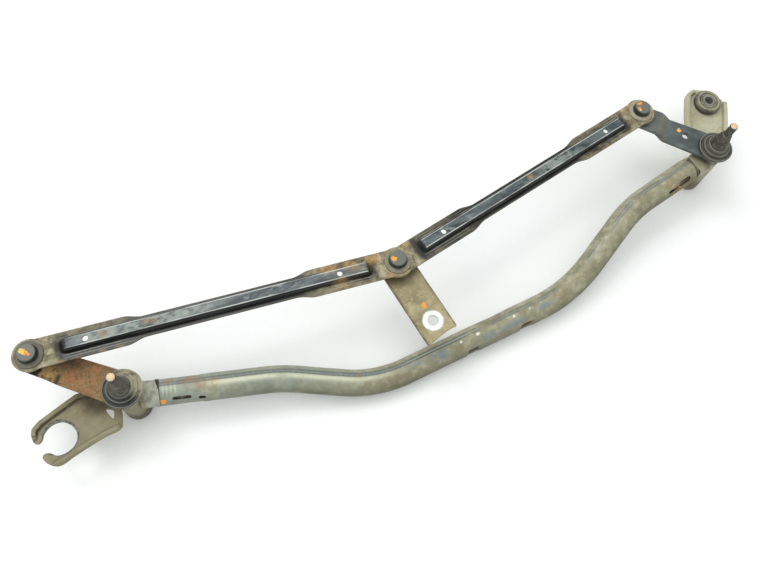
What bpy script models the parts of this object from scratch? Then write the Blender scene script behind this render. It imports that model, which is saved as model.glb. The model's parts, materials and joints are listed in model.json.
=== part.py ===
"""Windscreen wiper linkage: two spindle housings on a bent tube, two cranks,
two pressed drive rods and the motor crank. Metres, +Z up.

The origin is on the floor under the left spindle. +X runs to the right spindle.
"""
import math

import bmesh
import bpy
import numpy as np
from mathutils import Matrix, Vector

mm = 0.001

# Joint centres, seen from above (mm)
SPINDLE_SPACING = 621.2
LEFT_CRANK_LENGTH = 79.8
LEFT_CRANK_ANGLE = 137.4
RIGHT_CRANK_LENGTH = 85.5
RIGHT_CRANK_ANGLE = 132.9
LEFT_ROD_LENGTH = 324.2
LEFT_ROD_ANGLE = -7.92
MOTOR_CRANK_LENGTH = 61.6
MOTOR_CRANK_ANGLE = -83.0

# Running and seating gap between pieces that touch
GAP = 0.3

# Spindle
THREAD_DIAMETER = 8.0
THREAD_LENGTH = 14.5
CONE_TOP_DIAMETER = 10.2
CONE_BASE_DIAMETER = 16.8
CONE_LENGTH = 14.0
SHOULDER_DIAMETER = 18.0
SHOULDER_HEIGHT = 3.2
SHAFT_DIAMETER = 12.0
CLIP_GROOVE_DEPTH = 1.0
CLIP_THICKNESS = 1.0
CLIP_DIAMETER = 17.6
SPINDLE_END_HEIGHT = 2.0

# Housing barrels
BARREL_DIAMETER = 24.0
BARREL_HEIGHT = 61.0
BUSH_WALL = 1.7
UPPER_BUSH_LENGTH = 16.0
LOWER_BUSH_LENGTH = 14.0
PLUG_THICKNESS = 1.5
PLUG_DIAMETER = 18.4
WASHER_THICKNESS = 1.0
TOP_WASHER_DIAMETER = 22.0
BOTTOM_WASHER_DIAMETER = 17.8

# Dust cap on each lever, from the bottom step to the top one
CAP_DISC_DIAMETER = 34.8
CAP_DISC_THICKNESS = 2.4
CAP_STEP_DIAMETER = 26.8
CAP_STEP_THICKNESS = 2.2
CAP_COLLAR_DIAMETER = 20.4
CAP_COLLAR_THICKNESS = 4.0

# Crank levers, pressed from plate
LEVER_THICKNESS = 3.5
LEVER_ROOT_WIDTH = 30.0
LEVER_TIP_WIDTH = 26.0
LEVER_JOGGLE = 6.4
LEVER_JOGGLE_START = 51.0
LEVER_JOGGLE_LENGTH = 13.0
RIGHT_LEVER_HOLE_DIAMETER = 7.0
RIGHT_LEVER_HOLE_PLACE = 32.0
RIGHT_LEVER_HOLE_SIDE = -1.5

# Ball studs and their sockets
BALL_DIAMETER = 11.0
BALL_CLEARANCE = 0.3
OPEN_BALL_CLEARANCE = 0.95
STUD_SHANK_DIAMETER = 8.0
STUD_NECK_DIAMETER = 6.0
STUD_COLLAR_DIAMETER = 12.0
STUD_COLLAR_THICKNESS = 1.5
RIVET_HEAD_DIAMETER = 12.0
RIVET_HEAD_THICKNESS = 1.8
SOCKET_CAP_DIAMETER = 15.6
SOCKET_CAP_HEIGHT = 6.2
SOCKET_FLANGE_DIAMETER = 24.4
SOCKET_FLANGE_THICKNESS = 2.0
SOCKET_COLLAR_DIAMETER = 17.6
SOCKET_COLLAR_DROP = 1.0
SOCKET_TOP_WALL = 1.2
CENTRE_BUSH_WALL = 1.5
CENTRE_BUSH_FLANGE_DIAMETER = 23.0
CENTRE_BUSH_FLANGE_THICKNESS = 1.2

# Drive rods, pressed from sheet
ROD_SHEET = 2.0
ROD_CLEARANCE = 3.5
ROD_EYE_DIAMETER = 29.0
ROD_WING_WIDTH = 26.0
ROD_WING_LENGTH = 80.0
ROD_WING_RUNOUT = 15.0
ROD_NARROW_WIDTH = 19.0
ROD_RIB_HEIGHT = 6.5
ROD_RIB_TOP_WIDTH = 9.6
ROD_RIB_FOOT_WIDTH = 14.0
ROD_RIB_START = 24.0
ROD_RIB_RAMP = 7.5
ROD_HOLE_DIAMETER = 5.2
LEFT_ROD_HOLE_PLACES = (47.6, 54.7)
RIGHT_ROD_HOLE_PLACES = (52.2, 50.6)

# Motor crank plate
PLATE_THICKNESS = 4.0
PLATE_WIDTH = 32.6
PLATE_HOLE_DIAMETER = 10.6
PLATE_CLEARANCE = 6.0
PLATE_END_LEFT = 17.8
PLATE_END_MIDDLE = 15.2
PLATE_END_RIGHT = 14.8

# Frame tube: corners of its centre line, the radius of each bend and how far below the
# barrel tops its ends meet the necks; slots as (place from the end, angle round the tube, length, width)
TUBE_DIAMETER = 25.0
TUBE_WALL = 1.5
TUBE_CORNERS = ((128.0, -35.0, 27.6), (208.0, -73.5, 12.0),
                (425.0, -67.0, 15.5), (518.0, -18.1, 41.0))
TUBE_BEND_RADII = (150.0, 120.0, 150.0, 110.0)
LEFT_TUBE_DROP = 21.5
RIGHT_TUBE_DROP = 13.0
TUBE_END_PLACE = 26.0
SPIGOT_LENGTH = 32.0
NECK_WIDTH = 21.0
NECK_HEIGHT = 22.0
LEFT_SLOTS = ((18.7, 40.0, 16.5, 3.6), (36.0, 29.0, 6.5, 3.4))
RIGHT_SLOTS = ((16.1, 36.0, 15.5, 6.2), (31.6, 28.0, 13.0, 3.6))

# Fork bracket on the left housing: its edges from the barrel to the tip of each prong
FORK_DROP = 25.0
FORK_THICKNESS = 4.5
FORK_RIM_HEIGHT = 3.5
FORK_UPPER_RIM_WIDTH = 4.6
FORK_LOWER_RIM_WIDTH = 3.8
FORK_UPPER_EDGE = ((-4.0, 11.0), (-25.0, 18.4), (-41.5, 20.0), (-59.2, 14.9), (-77.1, 9.6), (-84.0, 5.2),
                   (-86.1, 0.0), (-85.4, -5.8), (-82.6, -7.4), (-79.4, -6.0))
FORK_LOWER_EDGE = ((-8.0, -6.0), (-12.2, -17.8), (-13.6, -21.9), (-17.3, -25.0), (-29.6, -25.4),
                   (-52.7, -29.5), (-61.4, -31.2), (-67.2, -33.0), (-72.6, -33.2), (-76.9, -30.7),
                   (-80.8, -26.2), (-82.9, -21.8), (-81.4, -19.4), (-78.4, -18.8))
FORK_SLOT_CENTRE = (-64.5, -10.8)
FORK_SLOT_DIAMETER = 27.6
FORK_SLOT_ENDS = (143.0, -139.0)
FORK_WINDOW = ((-22.5, -2.0), (-16.5, -6.5), (-19.0, -13.0))

# Tab on the right housing, with its grommet
TAB_ANGLE = 56.5
TAB_DROP = 18.0
TAB_THICKNESS = 4.5
TAB_WIDTH = 44.8
TAB_TAPER_END = 34.0
TAB_FAR_EDGE = ((74.0, -22.4), (77.6, -19.8), (80.0, -15.0), (85.4, -7.3), (85.0, 7.1), (83.3, 12.6),
                (80.2, 18.2), (75.8, 21.3), (71.3, 22.4))
TAB_RIB_END = 73.0
TAB_LEFT_RIB_WIDTH = 5.4
TAB_RIGHT_RIB_WIDTH = 3.8
TAB_RIB_HEIGHT = 4.5
TAB_RIB_INSET = 0.5
GROMMET_PLACE = 67.5
GROMMET_GROOVE_DIAMETER = 20.0
GROMMET_DIAMETER = 28.4
GROMMET_TOP_DIAMETER = 25.4
GROMMET_TOP_HEIGHT = 7.0
GROMMET_FOOT_HEIGHT = 4.5
SLEEVE_DIAMETER = 13.6
SLEEVE_BORE = 9.0

# Colour, roughness and metallic value of each finish
FINISHES = {
    "galvanised": ((0.50, 0.49, 0.42, 1.0), 0.45, 0.7),
    "casting": ((0.46, 0.45, 0.38, 1.0), 0.6, 0.5),
    "rusty_plate": ((0.33, 0.20, 0.12, 1.0), 0.75, 0.3),
    "black_plate": ((0.06, 0.07, 0.08, 1.0), 0.45, 0.3),
    "black_paint": ((0.03, 0.03, 0.035, 1.0), 0.3, 0.2),
    "olive_plate": ((0.40, 0.37, 0.27, 1.0), 0.55, 0.4),
    "plastic": ((0.14, 0.16, 0.15, 1.0), 0.5, 0.0),
    "black_rubber": ((0.03, 0.03, 0.03, 1.0), 0.7, 0.0),
    "steel": ((0.20, 0.20, 0.19, 1.0), 0.4, 0.9),
    "bright_steel": ((0.6, 0.6, 0.6, 1.0), 0.3, 1.0),
    "bronze": ((0.50, 0.35, 0.18, 1.0), 0.45, 0.9),
}

ROUND_STEPS = 28
TUBE_SIDES = 16
SMALL_STEPS = 20

# Heights that follow from the sizes above
LEVER_UNDERSIDE_HEIGHT = BARREL_HEIGHT + WASHER_THICKNESS + 2 * GAP
LEVER_TOP_HEIGHT = LEVER_UNDERSIDE_HEIGHT + LEVER_THICKNESS
CAP_BOTTOM_HEIGHT = LEVER_TOP_HEIGHT + GAP
CAP_TOP_HEIGHT = CAP_BOTTOM_HEIGHT + CAP_DISC_THICKNESS + CAP_STEP_THICKNESS + CAP_COLLAR_THICKNESS
SHOULDER_BOTTOM_HEIGHT = CAP_TOP_HEIGHT + GAP
CONE_BASE_HEIGHT = SHOULDER_BOTTOM_HEIGHT + SHOULDER_HEIGHT
CONE_TOP_HEIGHT = CONE_BASE_HEIGHT + CONE_LENGTH
SPINDLE_TIP_HEIGHT = CONE_TOP_HEIGHT + THREAD_LENGTH
BOTTOM_WASHER_HEIGHT = SPINDLE_END_HEIGHT + 1.0 + CLIP_THICKNESS + GAP
LOWER_BUSH_HEIGHT = BOTTOM_WASHER_HEIGHT + WASHER_THICKNESS + GAP
LEFT_TUBE_HEIGHT = BARREL_HEIGHT - LEFT_TUBE_DROP
RIGHT_TUBE_HEIGHT = BARREL_HEIGHT - RIGHT_TUBE_DROP
FORK_UNDERSIDE_HEIGHT = BARREL_HEIGHT - FORK_DROP
TAB_UNDERSIDE_HEIGHT = BARREL_HEIGHT - TAB_DROP
BUSH_BORE = SHAFT_DIAMETER + 2 * GAP
BUSH_DIAMETER = BUSH_BORE + 2 * BUSH_WALL
BARREL_BORE = BUSH_DIAMETER + 2 * GAP
ROD_UNDERSIDE_HEIGHT = LEVER_TOP_HEIGHT + LEVER_JOGGLE + ROD_CLEARANCE
PLATE_UNDERSIDE_HEIGHT = ROD_UNDERSIDE_HEIGHT - PLATE_CLEARANCE - PLATE_THICKNESS
RIGHT_ROD_TOP_HEIGHT = ROD_UNDERSIDE_HEIGHT + ROD_SHEET
LEFT_ROD_UNDERSIDE_HEIGHT = RIGHT_ROD_TOP_HEIGHT + GAP
LEFT_ROD_TOP_HEIGHT = LEFT_ROD_UNDERSIDE_HEIGHT + ROD_SHEET
EYE_HOLE_DIAMETER = SOCKET_COLLAR_DIAMETER + 2 * GAP
RIGHT_EYE_HOLE_DIAMETER = EYE_HOLE_DIAMETER + 2 * CENTRE_BUSH_WALL + 2 * GAP


def direction(angle):
    """Unit vector in the floor plane at an angle in degrees from +X."""
    return Vector((math.cos(math.radians(angle)), math.sin(math.radians(angle)), 0.0))


LEFT_SPINDLE = Vector((0.0, 0.0, 0.0))
RIGHT_SPINDLE = Vector((SPINDLE_SPACING, 0.0, 0.0))
LEFT_JOINT = LEFT_SPINDLE + LEFT_CRANK_LENGTH * direction(LEFT_CRANK_ANGLE)
CENTRE_JOINT = LEFT_JOINT + LEFT_ROD_LENGTH * direction(LEFT_ROD_ANGLE)
RIGHT_JOINT = RIGHT_SPINDLE + RIGHT_CRANK_LENGTH * direction(RIGHT_CRANK_ANGLE)


def collection(name):
    made = bpy.data.collections.new(name)
    bpy.context.scene.collection.children.link(made)
    return made


def finish(name):
    """Material with the colour, roughness and metallic value of a finish."""
    if name in bpy.data.materials:
        return bpy.data.materials[name]
    colour, roughness, metallic = FINISHES[name]
    material = bpy.data.materials.new(name)
    material.use_nodes = True
    shader = material.node_tree.nodes["Principled BSDF"]
    shader.inputs["Base Color"].default_value = colour
    shader.inputs["Roughness"].default_value = roughness
    shader.inputs["Metallic"].default_value = metallic
    return material


def place(name, mesh, centre=(0.0, 0.0, 0.0), angle=0.0):
    """New object from a mesh in millimetres, scaled to metres."""
    made = bpy.data.objects.new(name, mesh)
    mesh.transform(Matrix.Scale(mm, 4))
    made.location = Vector(centre) * mm
    made.rotation_euler = (0.0, 0.0, math.radians(angle))
    shapes.objects.link(made)
    return made


def turned(name, profile, centre=(0.0, 0.0, 0.0), ring=False, steps=ROUND_STEPS):
    """Turned solid: (radius, height) points down the outer side, then up the inner one."""
    mesh = bpy.data.meshes.new(name)
    points = [(r, 0.0, z) for r, z in profile]
    edges = [(i, i + 1) for i in range(len(points) - 1)]
    if ring:
        edges.append((len(points) - 1, 0))
    mesh.from_pydata(points, edges, [])
    made = place(name, mesh, centre)
    screw = made.modifiers.new("Screw", "SCREW")
    screw.axis = "Z"
    screw.angle = 2 * math.pi
    screw.steps = steps
    screw.render_steps = steps
    screw.use_merge_vertices = True
    screw.merge_threshold = 0.000001
    screw.use_smooth_shade = False
    return made


def tube_ring(name, outer, inner, low, high, centre=(0.0, 0.0, 0.0), steps=ROUND_STEPS):
    """Plain ring between two diameters and two heights."""
    profile = [(outer / 2, high), (outer / 2, low), (inner / 2, low), (inner / 2, high)]
    return turned(name, profile, centre, ring=True, steps=steps)


def from_curve(name, curve, centre=(0.0, 0.0, 0.0), angle=0.0):
    """Closed mesh object from a curve in millimetres."""
    source = bpy.data.objects.new(name + "_curve", curve)
    shapes.objects.link(source)
    graph = bpy.context.evaluated_depsgraph_get()
    mesh = bpy.data.meshes.new_from_object(source.evaluated_get(graph))
    bpy.data.objects.remove(source)
    net = bmesh.new()
    net.from_mesh(mesh)
    bmesh.ops.remove_doubles(net, verts=net.verts, dist=0.01)
    net.to_mesh(mesh)
    net.free()
    mesh.materials.clear()
    return place(name, mesh, centre, angle)


def flat(name, outline, low, high, centre=(0.0, 0.0, 0.0), angle=0.0):
    """Flat outline in millimetres, extruded between two heights."""
    curve = bpy.data.curves.new(name, "CURVE")
    curve.dimensions = "2D"
    curve.fill_mode = "BOTH"
    curve.extrude = (high - low) / 2
    spline = curve.splines.new("POLY")
    spline.points.add(len(outline) - 1)
    for point, (x, y) in zip(spline.points, outline):
        point.co = (x, y, 0.0, 1.0)
    spline.use_cyclic_u = True
    made = from_curve(name, curve, centre, angle)
    made.data.transform(Matrix.Translation((0.0, 0.0, (low + high) / 2 * mm)))
    return made


def round_bar(name, diameter, start, end, steps=ROUND_STEPS):
    """Cylinder between two points in millimetres."""
    start = Vector(start)
    end = Vector(end)
    net = bmesh.new()
    bmesh.ops.create_cone(net, cap_ends=True, segments=steps, radius1=diameter / 2,
                          radius2=diameter / 2, depth=(end - start).length)
    mesh = bpy.data.meshes.new(name)
    net.to_mesh(mesh)
    net.free()
    turn = Vector((0, 0, 1)).rotation_difference(end - start).to_matrix().to_4x4()
    mesh.transform(turn)
    return place(name, mesh, (start + end) / 2)


def block(name, size, centre, x_axis=(1.0, 0.0, 0.0), across=None):
    """Box in millimetres, its length along x_axis and its width level unless across says otherwise."""
    net = bmesh.new()
    bmesh.ops.create_cube(net, size=1.0)
    bmesh.ops.scale(net, vec=size, verts=net.verts)
    mesh = bpy.data.meshes.new(name)
    net.to_mesh(mesh)
    net.free()
    along = Vector(x_axis).normalized()
    if across is None:
        across = Vector((0, 0, 1)).cross(along).normalized()
    up = along.cross(across)
    mesh.transform(Matrix((along, across, up)).transposed().to_4x4())
    return place(name, mesh, centre)


def soften(piece, width, segments=2, angle=35.0):
    """Rounded edges wherever two faces meet more sharply than the angle."""
    bevel = piece.modifiers.new("Bevel", "BEVEL")
    bevel.width = width * mm
    bevel.segments = segments
    bevel.limit_method = "ANGLE"
    bevel.angle_limit = math.radians(angle)
    return piece


def combine(piece, tools, operation):
    """Boolean of a piece with each tool, which becomes a guide."""
    for tool in tools:
        step = piece.modifiers.new(tool.name, "BOOLEAN")
        step.operation = operation
        step.solver = "EXACT"
        step.object = tool
        shapes.objects.unlink(tool)
        guides.objects.link(tool)
        tool.hide_render = True
        tool.display_type = "WIRE"
    return piece


def cut(piece, *tools):
    return combine(piece, tools, "DIFFERENCE")


def join(piece, *tools):
    return combine(piece, tools, "UNION")


def trim(piece, *tools):
    return combine(piece, tools, "INTERSECT")


def arc(centre, radius, start, end, count):
    """Points on a circle between two angles in degrees."""
    angles = np.radians(np.linspace(start, end, count))
    return [(centre[0] + radius * math.cos(a), centre[1] + radius * math.sin(a)) for a in angles]


def circle(centre, diameter, count=32):
    half_step = 180.0 / count
    return arc(centre, diameter / 2, half_step, 360.0 - half_step, count)


def strip(points, near, far):
    """Outline of a strip beside a line, from near to far on its left side."""
    line = np.array(points, float)
    along = np.gradient(line, axis=0)
    along /= np.linalg.norm(along, axis=1)[:, None]
    side = np.stack([-along[:, 1], along[:, 0]], axis=1)
    return [tuple(p) for p in line + near * side] + [tuple(p) for p in (line + far * side)[::-1]]


def sheet(name, stations, widths, height, thickness, centre, angle):
    """Pressed sheet: its middle surface is height(x, y) over a grid of stations and widths."""
    mesh = bpy.data.meshes.new(name)
    points = [(x, y, height(x, y)) for x in stations for y in widths]
    row = len(widths)
    faces = []
    for i in range(len(stations) - 1):
        for j in range(row - 1):
            corner = i * row + j
            faces.append((corner, corner + row, corner + row + 1, corner + 1))
    mesh.from_pydata(points, [], faces)
    made = place(name, mesh, centre, angle)
    shell = made.modifiers.new("Solidify", "SOLIDIFY")
    shell.thickness = thickness * mm
    shell.offset = 0.0
    shell.use_even_offset = True
    return made


def smooth(value):
    """Rises from 0 to 1 with level ends."""
    value = min(max(value, 0.0), 1.0)
    return value * value * (3.0 - 2.0 * value)


def ball_stud(name, centre, underside, top, ball_height):
    """Stud riveted through a plate, with a ball above it."""
    ball = BALL_DIAMETER / 2
    neck = STUD_NECK_DIAMETER / 2
    shank = STUD_SHANK_DIAMETER / 2
    head = RIVET_HEAD_DIAMETER / 2
    collar = STUD_COLLAR_DIAMETER / 2
    low = math.degrees(math.asin(neck / ball))
    profile = []
    for turn in np.linspace(0.0, 180.0 - low, 9):
        profile.append((ball * math.sin(math.radians(turn)), ball_height + ball * math.cos(math.radians(turn))))
    profile[0] = (0.0, ball_height + ball)
    collar_low = top + GAP
    collar_high = collar_low + STUD_COLLAR_THICKNESS
    if profile[-1][1] > collar_high:
        profile.append((neck, collar_high))
    else:
        profile = [p for p in profile if p[1] > collar_high or p[0] > collar]
    profile += [(collar, collar_high), (collar, collar_low), (shank, collar_low),
                (shank, underside - GAP), (head, underside - GAP),
                (head, underside - GAP - RIVET_HEAD_THICKNESS * 0.6),
                (head * 0.7, underside - GAP - RIVET_HEAD_THICKNESS),
                (0.0, underside - GAP - RIVET_HEAD_THICKNESS)]
    return turned(name, profile, centre, steps=SMALL_STEPS)


def socket(name, centre, sheet_top, bottom, ball_height, clearance):
    """Moulded ball socket: cap, flange and a collar that goes down through the rod."""
    hollow = BALL_DIAMETER / 2 + clearance
    cap = SOCKET_CAP_DIAMETER / 2
    flange = SOCKET_FLANGE_DIAMETER / 2
    collar = SOCKET_COLLAR_DIAMETER / 2
    flange_low = sheet_top + GAP
    flange_high = flange_low + SOCKET_FLANGE_THICKNESS
    cap_top = flange_high + SOCKET_CAP_HEIGHT
    mouth = max(BALL_DIAMETER / 2 - 0.9, STUD_NECK_DIAMETER / 2 + 1.4 * clearance)
    profile = [(0.0, cap_top), (cap - 1.2, cap_top), (cap - 0.4, cap_top - 0.5), (cap, cap_top - 1.4),
               (cap + 0.3, flange_high + 0.8), (cap + 1.0, flange_high + 0.2),
               (flange - 1.6, flange_high), (flange - 0.4, flange_high - 0.4), (flange, flange_high - 1.0),
               (flange, flange_low), (collar, flange_low), (collar, bottom), (mouth, bottom)]
    start = math.degrees(math.acos(mouth / hollow))
    for turn in np.linspace(-start, 90.0, 7):
        profile.append((hollow * math.cos(math.radians(turn)),
                        ball_height + hollow * math.sin(math.radians(turn))))
    profile[-1] = (0.0, ball_height + hollow)
    return turned(name, profile, centre, steps=ROUND_STEPS)


def lever_outline(length):
    """Plan of a crank lever: a wide round end, straight flanks and a narrower round end."""
    root = LEVER_ROOT_WIDTH / 2
    tip = LEVER_TIP_WIDTH / 2
    lean = math.degrees(math.asin((root - tip) / length))
    return (arc((0.0, 0.0), root, 90.0 - lean, 270.0 + lean, 17)
            + arc((length, 0.0), tip, -90.0 + lean, 90.0 - lean, 15))


def lever(name, length, angle, centre):
    """Crank lever with a joggle up to its ball stud."""
    middle = LEVER_UNDERSIDE_HEIGHT + LEVER_THICKNESS / 2

    def height(x, y):
        return middle + LEVER_JOGGLE * smooth((x - LEVER_JOGGLE_START) / LEVER_JOGGLE_LENGTH)

    bend = LEVER_JOGGLE_START + LEVER_JOGGLE_LENGTH * np.linspace(0.0, 1.0, 9)
    stations = [-LEVER_ROOT_WIDTH] + list(bend) + [length + LEVER_TIP_WIDTH]
    widths = [-LEVER_ROOT_WIDTH, LEVER_ROOT_WIDTH]
    made = sheet(name, stations, widths, height, LEVER_THICKNESS, centre, angle)
    low = LEVER_UNDERSIDE_HEIGHT - 5.0
    high = LEVER_TOP_HEIGHT + LEVER_JOGGLE + 5.0
    trim(made, flat(name + "_blank", lever_outline(length), low, high, centre, angle))
    cut(made, flat(name + "_bore", circle((0.0, 0.0), SHAFT_DIAMETER + 2 * GAP), low, high, centre, angle),
        flat(name + "_stud_hole", circle((length, 0.0), STUD_SHANK_DIAMETER + 2 * GAP, 24),
             low, high, centre, angle))
    return made


def rod_outline(length):
    """Plan of a drive rod: round eyes, wide wings near them and a narrow middle."""
    eye = ROD_EYE_DIAMETER / 2
    wing = ROD_WING_WIDTH / 2
    narrow = ROD_NARROW_WIDTH / 2
    left = [(ROD_RIB_START, wing), (ROD_WING_LENGTH, wing)]
    runout = [(ROD_WING_LENGTH + ROD_WING_RUNOUT * t, wing + (narrow - wing) * smooth(t))
              for t in (0.25, 0.5, 0.75, 1.0)]
    half = arc((0.0, 0.0), eye, 180.0, 70.0, 15) + left + runout
    upper = half + [(length - x, y) for x, y in half[::-1]]
    lower = [(x, -y) for x, y in upper[::-1]]
    return upper + lower[1:-1]


def drive_rod(name, length, angle, centre, underside, hole_places, eye_holes):
    """Drive rod: a hat-shaped rib that runs out to a flat eye at each end."""
    middle = underside + ROD_SHEET / 2
    top = ROD_RIB_TOP_WIDTH / 2
    foot = ROD_RIB_FOOT_WIDTH / 2

    def height(x, y):
        inward = min(x, length - x)
        ramp = smooth((inward - ROD_RIB_START) / ROD_RIB_RAMP)
        rise = smooth((foot - abs(y)) / (foot - top))
        return middle + ROD_RIB_HEIGHT * ramp * rise

    ramp = list(ROD_RIB_START + ROD_RIB_RAMP * np.linspace(0.0, 1.0, 5))
    stations = [-ROD_EYE_DIAMETER] + ramp + [length - x for x in ramp[::-1]] + [length + ROD_EYE_DIAMETER]
    flank = list(foot + (top - foot) * np.linspace(0.0, 1.0, 5))
    widths = [-ROD_EYE_DIAMETER] + [-y for y in flank] + flank[::-1] + [ROD_EYE_DIAMETER]
    made = sheet(name, stations, widths, height, ROD_SHEET, centre, angle)
    low = underside - 5.0
    high = underside + ROD_RIB_HEIGHT + 8.0
    trim(made, flat(name + "_blank", rod_outline(length), low, high, centre, angle))
    holes = [((0.0, 0.0), eye_holes[0], 32), ((length, 0.0), eye_holes[1], 32),
             ((hole_places[0], 0.0), ROD_HOLE_DIAMETER, 16),
             ((length - hole_places[1], 0.0), ROD_HOLE_DIAMETER, 16)]
    for number, (spot, diameter, count) in enumerate(holes):
        cut(made, flat(f"{name}_hole_{number}", circle(spot, diameter, count), low, high, centre, angle))
    return made


def bent_line(corners, radii, step=11.0):
    """Centre line through corners, with each corner rounded to its bend radius."""
    corners = [Vector(c) for c in corners]
    line = [corners[0]]
    for before, corner, after, radius in zip(corners, corners[1:], corners[2:], radii):
        inward = (before - corner).normalized()
        outward = (after - corner).normalized()
        half_turn = (math.pi - inward.angle(outward)) / 2
        reach = radius * math.tan(half_turn)
        middle = corner + (inward + outward).normalized() * radius / math.cos(half_turn)
        start = (corner + inward * reach - middle).normalized()
        end = (corner + outward * reach - middle).normalized()
        count = max(3, round(2 * half_turn * radius / step) + 1)
        for part in np.linspace(0.0, 1.0, count):
            line.append(middle + radius * start.slerp(end, part))
    line.append(corners[-1])
    return line


def tube_axis(spindle, corner, spindle_height):
    """Unit vector from a spindle towards the tube, and the point where the axes cross."""
    root = Vector((spindle.x, spindle.y, spindle_height))
    return root, (Vector(corner) - root).normalized()


def frame_tube():
    """Bent steel tube with crimping slots at both ends."""
    left_root, left_way = tube_axis(LEFT_SPINDLE, TUBE_CORNERS[0], LEFT_TUBE_HEIGHT)
    right_root, right_way = tube_axis(RIGHT_SPINDLE, TUBE_CORNERS[-1], RIGHT_TUBE_HEIGHT)
    corners = [left_root + left_way * TUBE_END_PLACE]
    corners += [Vector(c) for c in TUBE_CORNERS]
    corners += [right_root + right_way * TUBE_END_PLACE]
    curve = bpy.data.curves.new("frame_tube", "CURVE")
    curve.dimensions = "3D"
    curve.bevel_depth = TUBE_DIAMETER / 2
    curve.bevel_resolution = TUBE_SIDES // 2 - 2
    line = bent_line(corners, TUBE_BEND_RADII)
    spline = curve.splines.new("POLY")
    spline.points.add(len(line) - 1)
    for point, spot in zip(spline.points, line):
        point.co = (*spot, 1.0)
    made = from_curve("frame_tube", curve)
    shell = made.modifiers.new("Solidify", "SOLIDIFY")
    shell.thickness = TUBE_WALL * mm
    shell.offset = -1.0
    shell.use_even_offset = True
    for root, way, rightward, slots in ((left_root, left_way, left_way, LEFT_SLOTS),
                                        (right_root, right_way, -right_way, RIGHT_SLOTS)):
        front = rightward.cross(Vector((0, 0, 1))).normalized()
        for distance, turn, length, width in slots:
            outward = Matrix.Rotation(math.radians(-turn), 3, rightward) @ front
            spot = root + way * (TUBE_END_PLACE + distance) + outward * TUBE_DIAMETER / 2
            slot = block("crimp_slot", (length, TUBE_DIAMETER, width), spot, way, outward)
            cut(made, soften(slot, 0.45 * width, 3))
    return made


def barrel(name, centre):
    """Spindle barrel with a bore for two bushes and a counterbore for clip and plug."""
    radius = BARREL_DIAMETER / 2
    bore = BARREL_BORE / 2
    counterbore = PLUG_DIAMETER / 2 + GAP
    profile = [(radius - 0.8, BARREL_HEIGHT), (radius, BARREL_HEIGHT - 0.8), (radius, 0.8), (radius - 0.8, 0.0),
               (counterbore, 0.0), (counterbore, LOWER_BUSH_HEIGHT - GAP), (bore, LOWER_BUSH_HEIGHT - GAP),
               (bore, BARREL_HEIGHT)]
    return turned(name, profile, centre, ring=True)


def bore_cutter(name, centre):
    """Core of the barrel bore, which clears what the neck and bracket put into it."""
    bore = BARREL_BORE / 2
    profile = [(0.0, BARREL_HEIGHT + 5.0), (bore, BARREL_HEIGHT + 5.0), (bore, LOWER_BUSH_HEIGHT - GAP + 0.1),
               (0.0, LOWER_BUSH_HEIGHT - GAP + 0.1)]
    return turned(name, profile, centre)


def neck(name, spindle, corner, height):
    """Cast neck between barrel and tube, and the spigot inside the tube."""
    root, way = tube_axis(spindle, corner, height)
    body = block(name + "_body", (TUBE_END_PLACE - GAP, NECK_WIDTH, NECK_HEIGHT),
                 root + way * (TUBE_END_PLACE - GAP) / 2, way)
    soften(body, 3.5, 3)
    facet = math.cos(math.pi / TUBE_SIDES)
    spigot_diameter = (TUBE_DIAMETER - 2 * TUBE_WALL) * facet - 2 * GAP
    spigot = round_bar(name + "_spigot", spigot_diameter, root + way * (TUBE_END_PLACE - 6.0),
                       root + way * (TUBE_END_PLACE + SPIGOT_LENGTH))
    return body, spigot


def fork_outline():
    """Plan of the fork bracket, with its round slot open to the left."""
    start, end = FORK_SLOT_ENDS
    inner = arc(FORK_SLOT_CENTRE, FORK_SLOT_DIAMETER / 2, start, end, 25)
    return list(FORK_UPPER_EDGE) + inner + list(FORK_LOWER_EDGE[::-1])


def fork_shapes():
    """Fork plate and the raised rims along its two outer edges."""
    low = FORK_UNDERSIDE_HEIGHT
    high = low + FORK_THICKNESS
    rim_top = high + FORK_RIM_HEIGHT
    plate = flat("fork_plate", fork_outline(), low, high)
    upper = strip(FORK_UPPER_EDGE[:7], GAP, FORK_UPPER_RIM_WIDTH)
    lower = strip(FORK_LOWER_EDGE[2:10], -GAP, -FORK_LOWER_RIM_WIDTH)
    upper_rim = flat("fork_upper_rim", upper, low + FORK_THICKNESS / 2, rim_top)
    lower_rim = flat("fork_lower_rim", lower, low + FORK_THICKNESS / 2, rim_top)
    return plate, upper_rim, lower_rim


def left_housing():
    made = barrel("left_housing", LEFT_SPINDLE)
    body, spigot = neck("left_neck", LEFT_SPINDLE, TUBE_CORNERS[0], LEFT_TUBE_HEIGHT)
    plate, upper_rim, lower_rim = fork_shapes()
    window = flat("fork_window", FORK_WINDOW, FORK_UNDERSIDE_HEIGHT - 5.0, BARREL_HEIGHT)
    join(made, body, spigot, plate, upper_rim, lower_rim)
    cut(made, window, bore_cutter("left_bore", LEFT_SPINDLE))
    return made


def tab_outline():
    """Plan of the grommet tab, with +X along the tab."""
    half = TAB_WIDTH / 2
    root = BARREL_DIAMETER / 2 - 1.0
    return [(2.0, -root), (TAB_TAPER_END, -half)] + list(TAB_FAR_EDGE) + [(TAB_TAPER_END, half), (2.0, root)]


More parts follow.
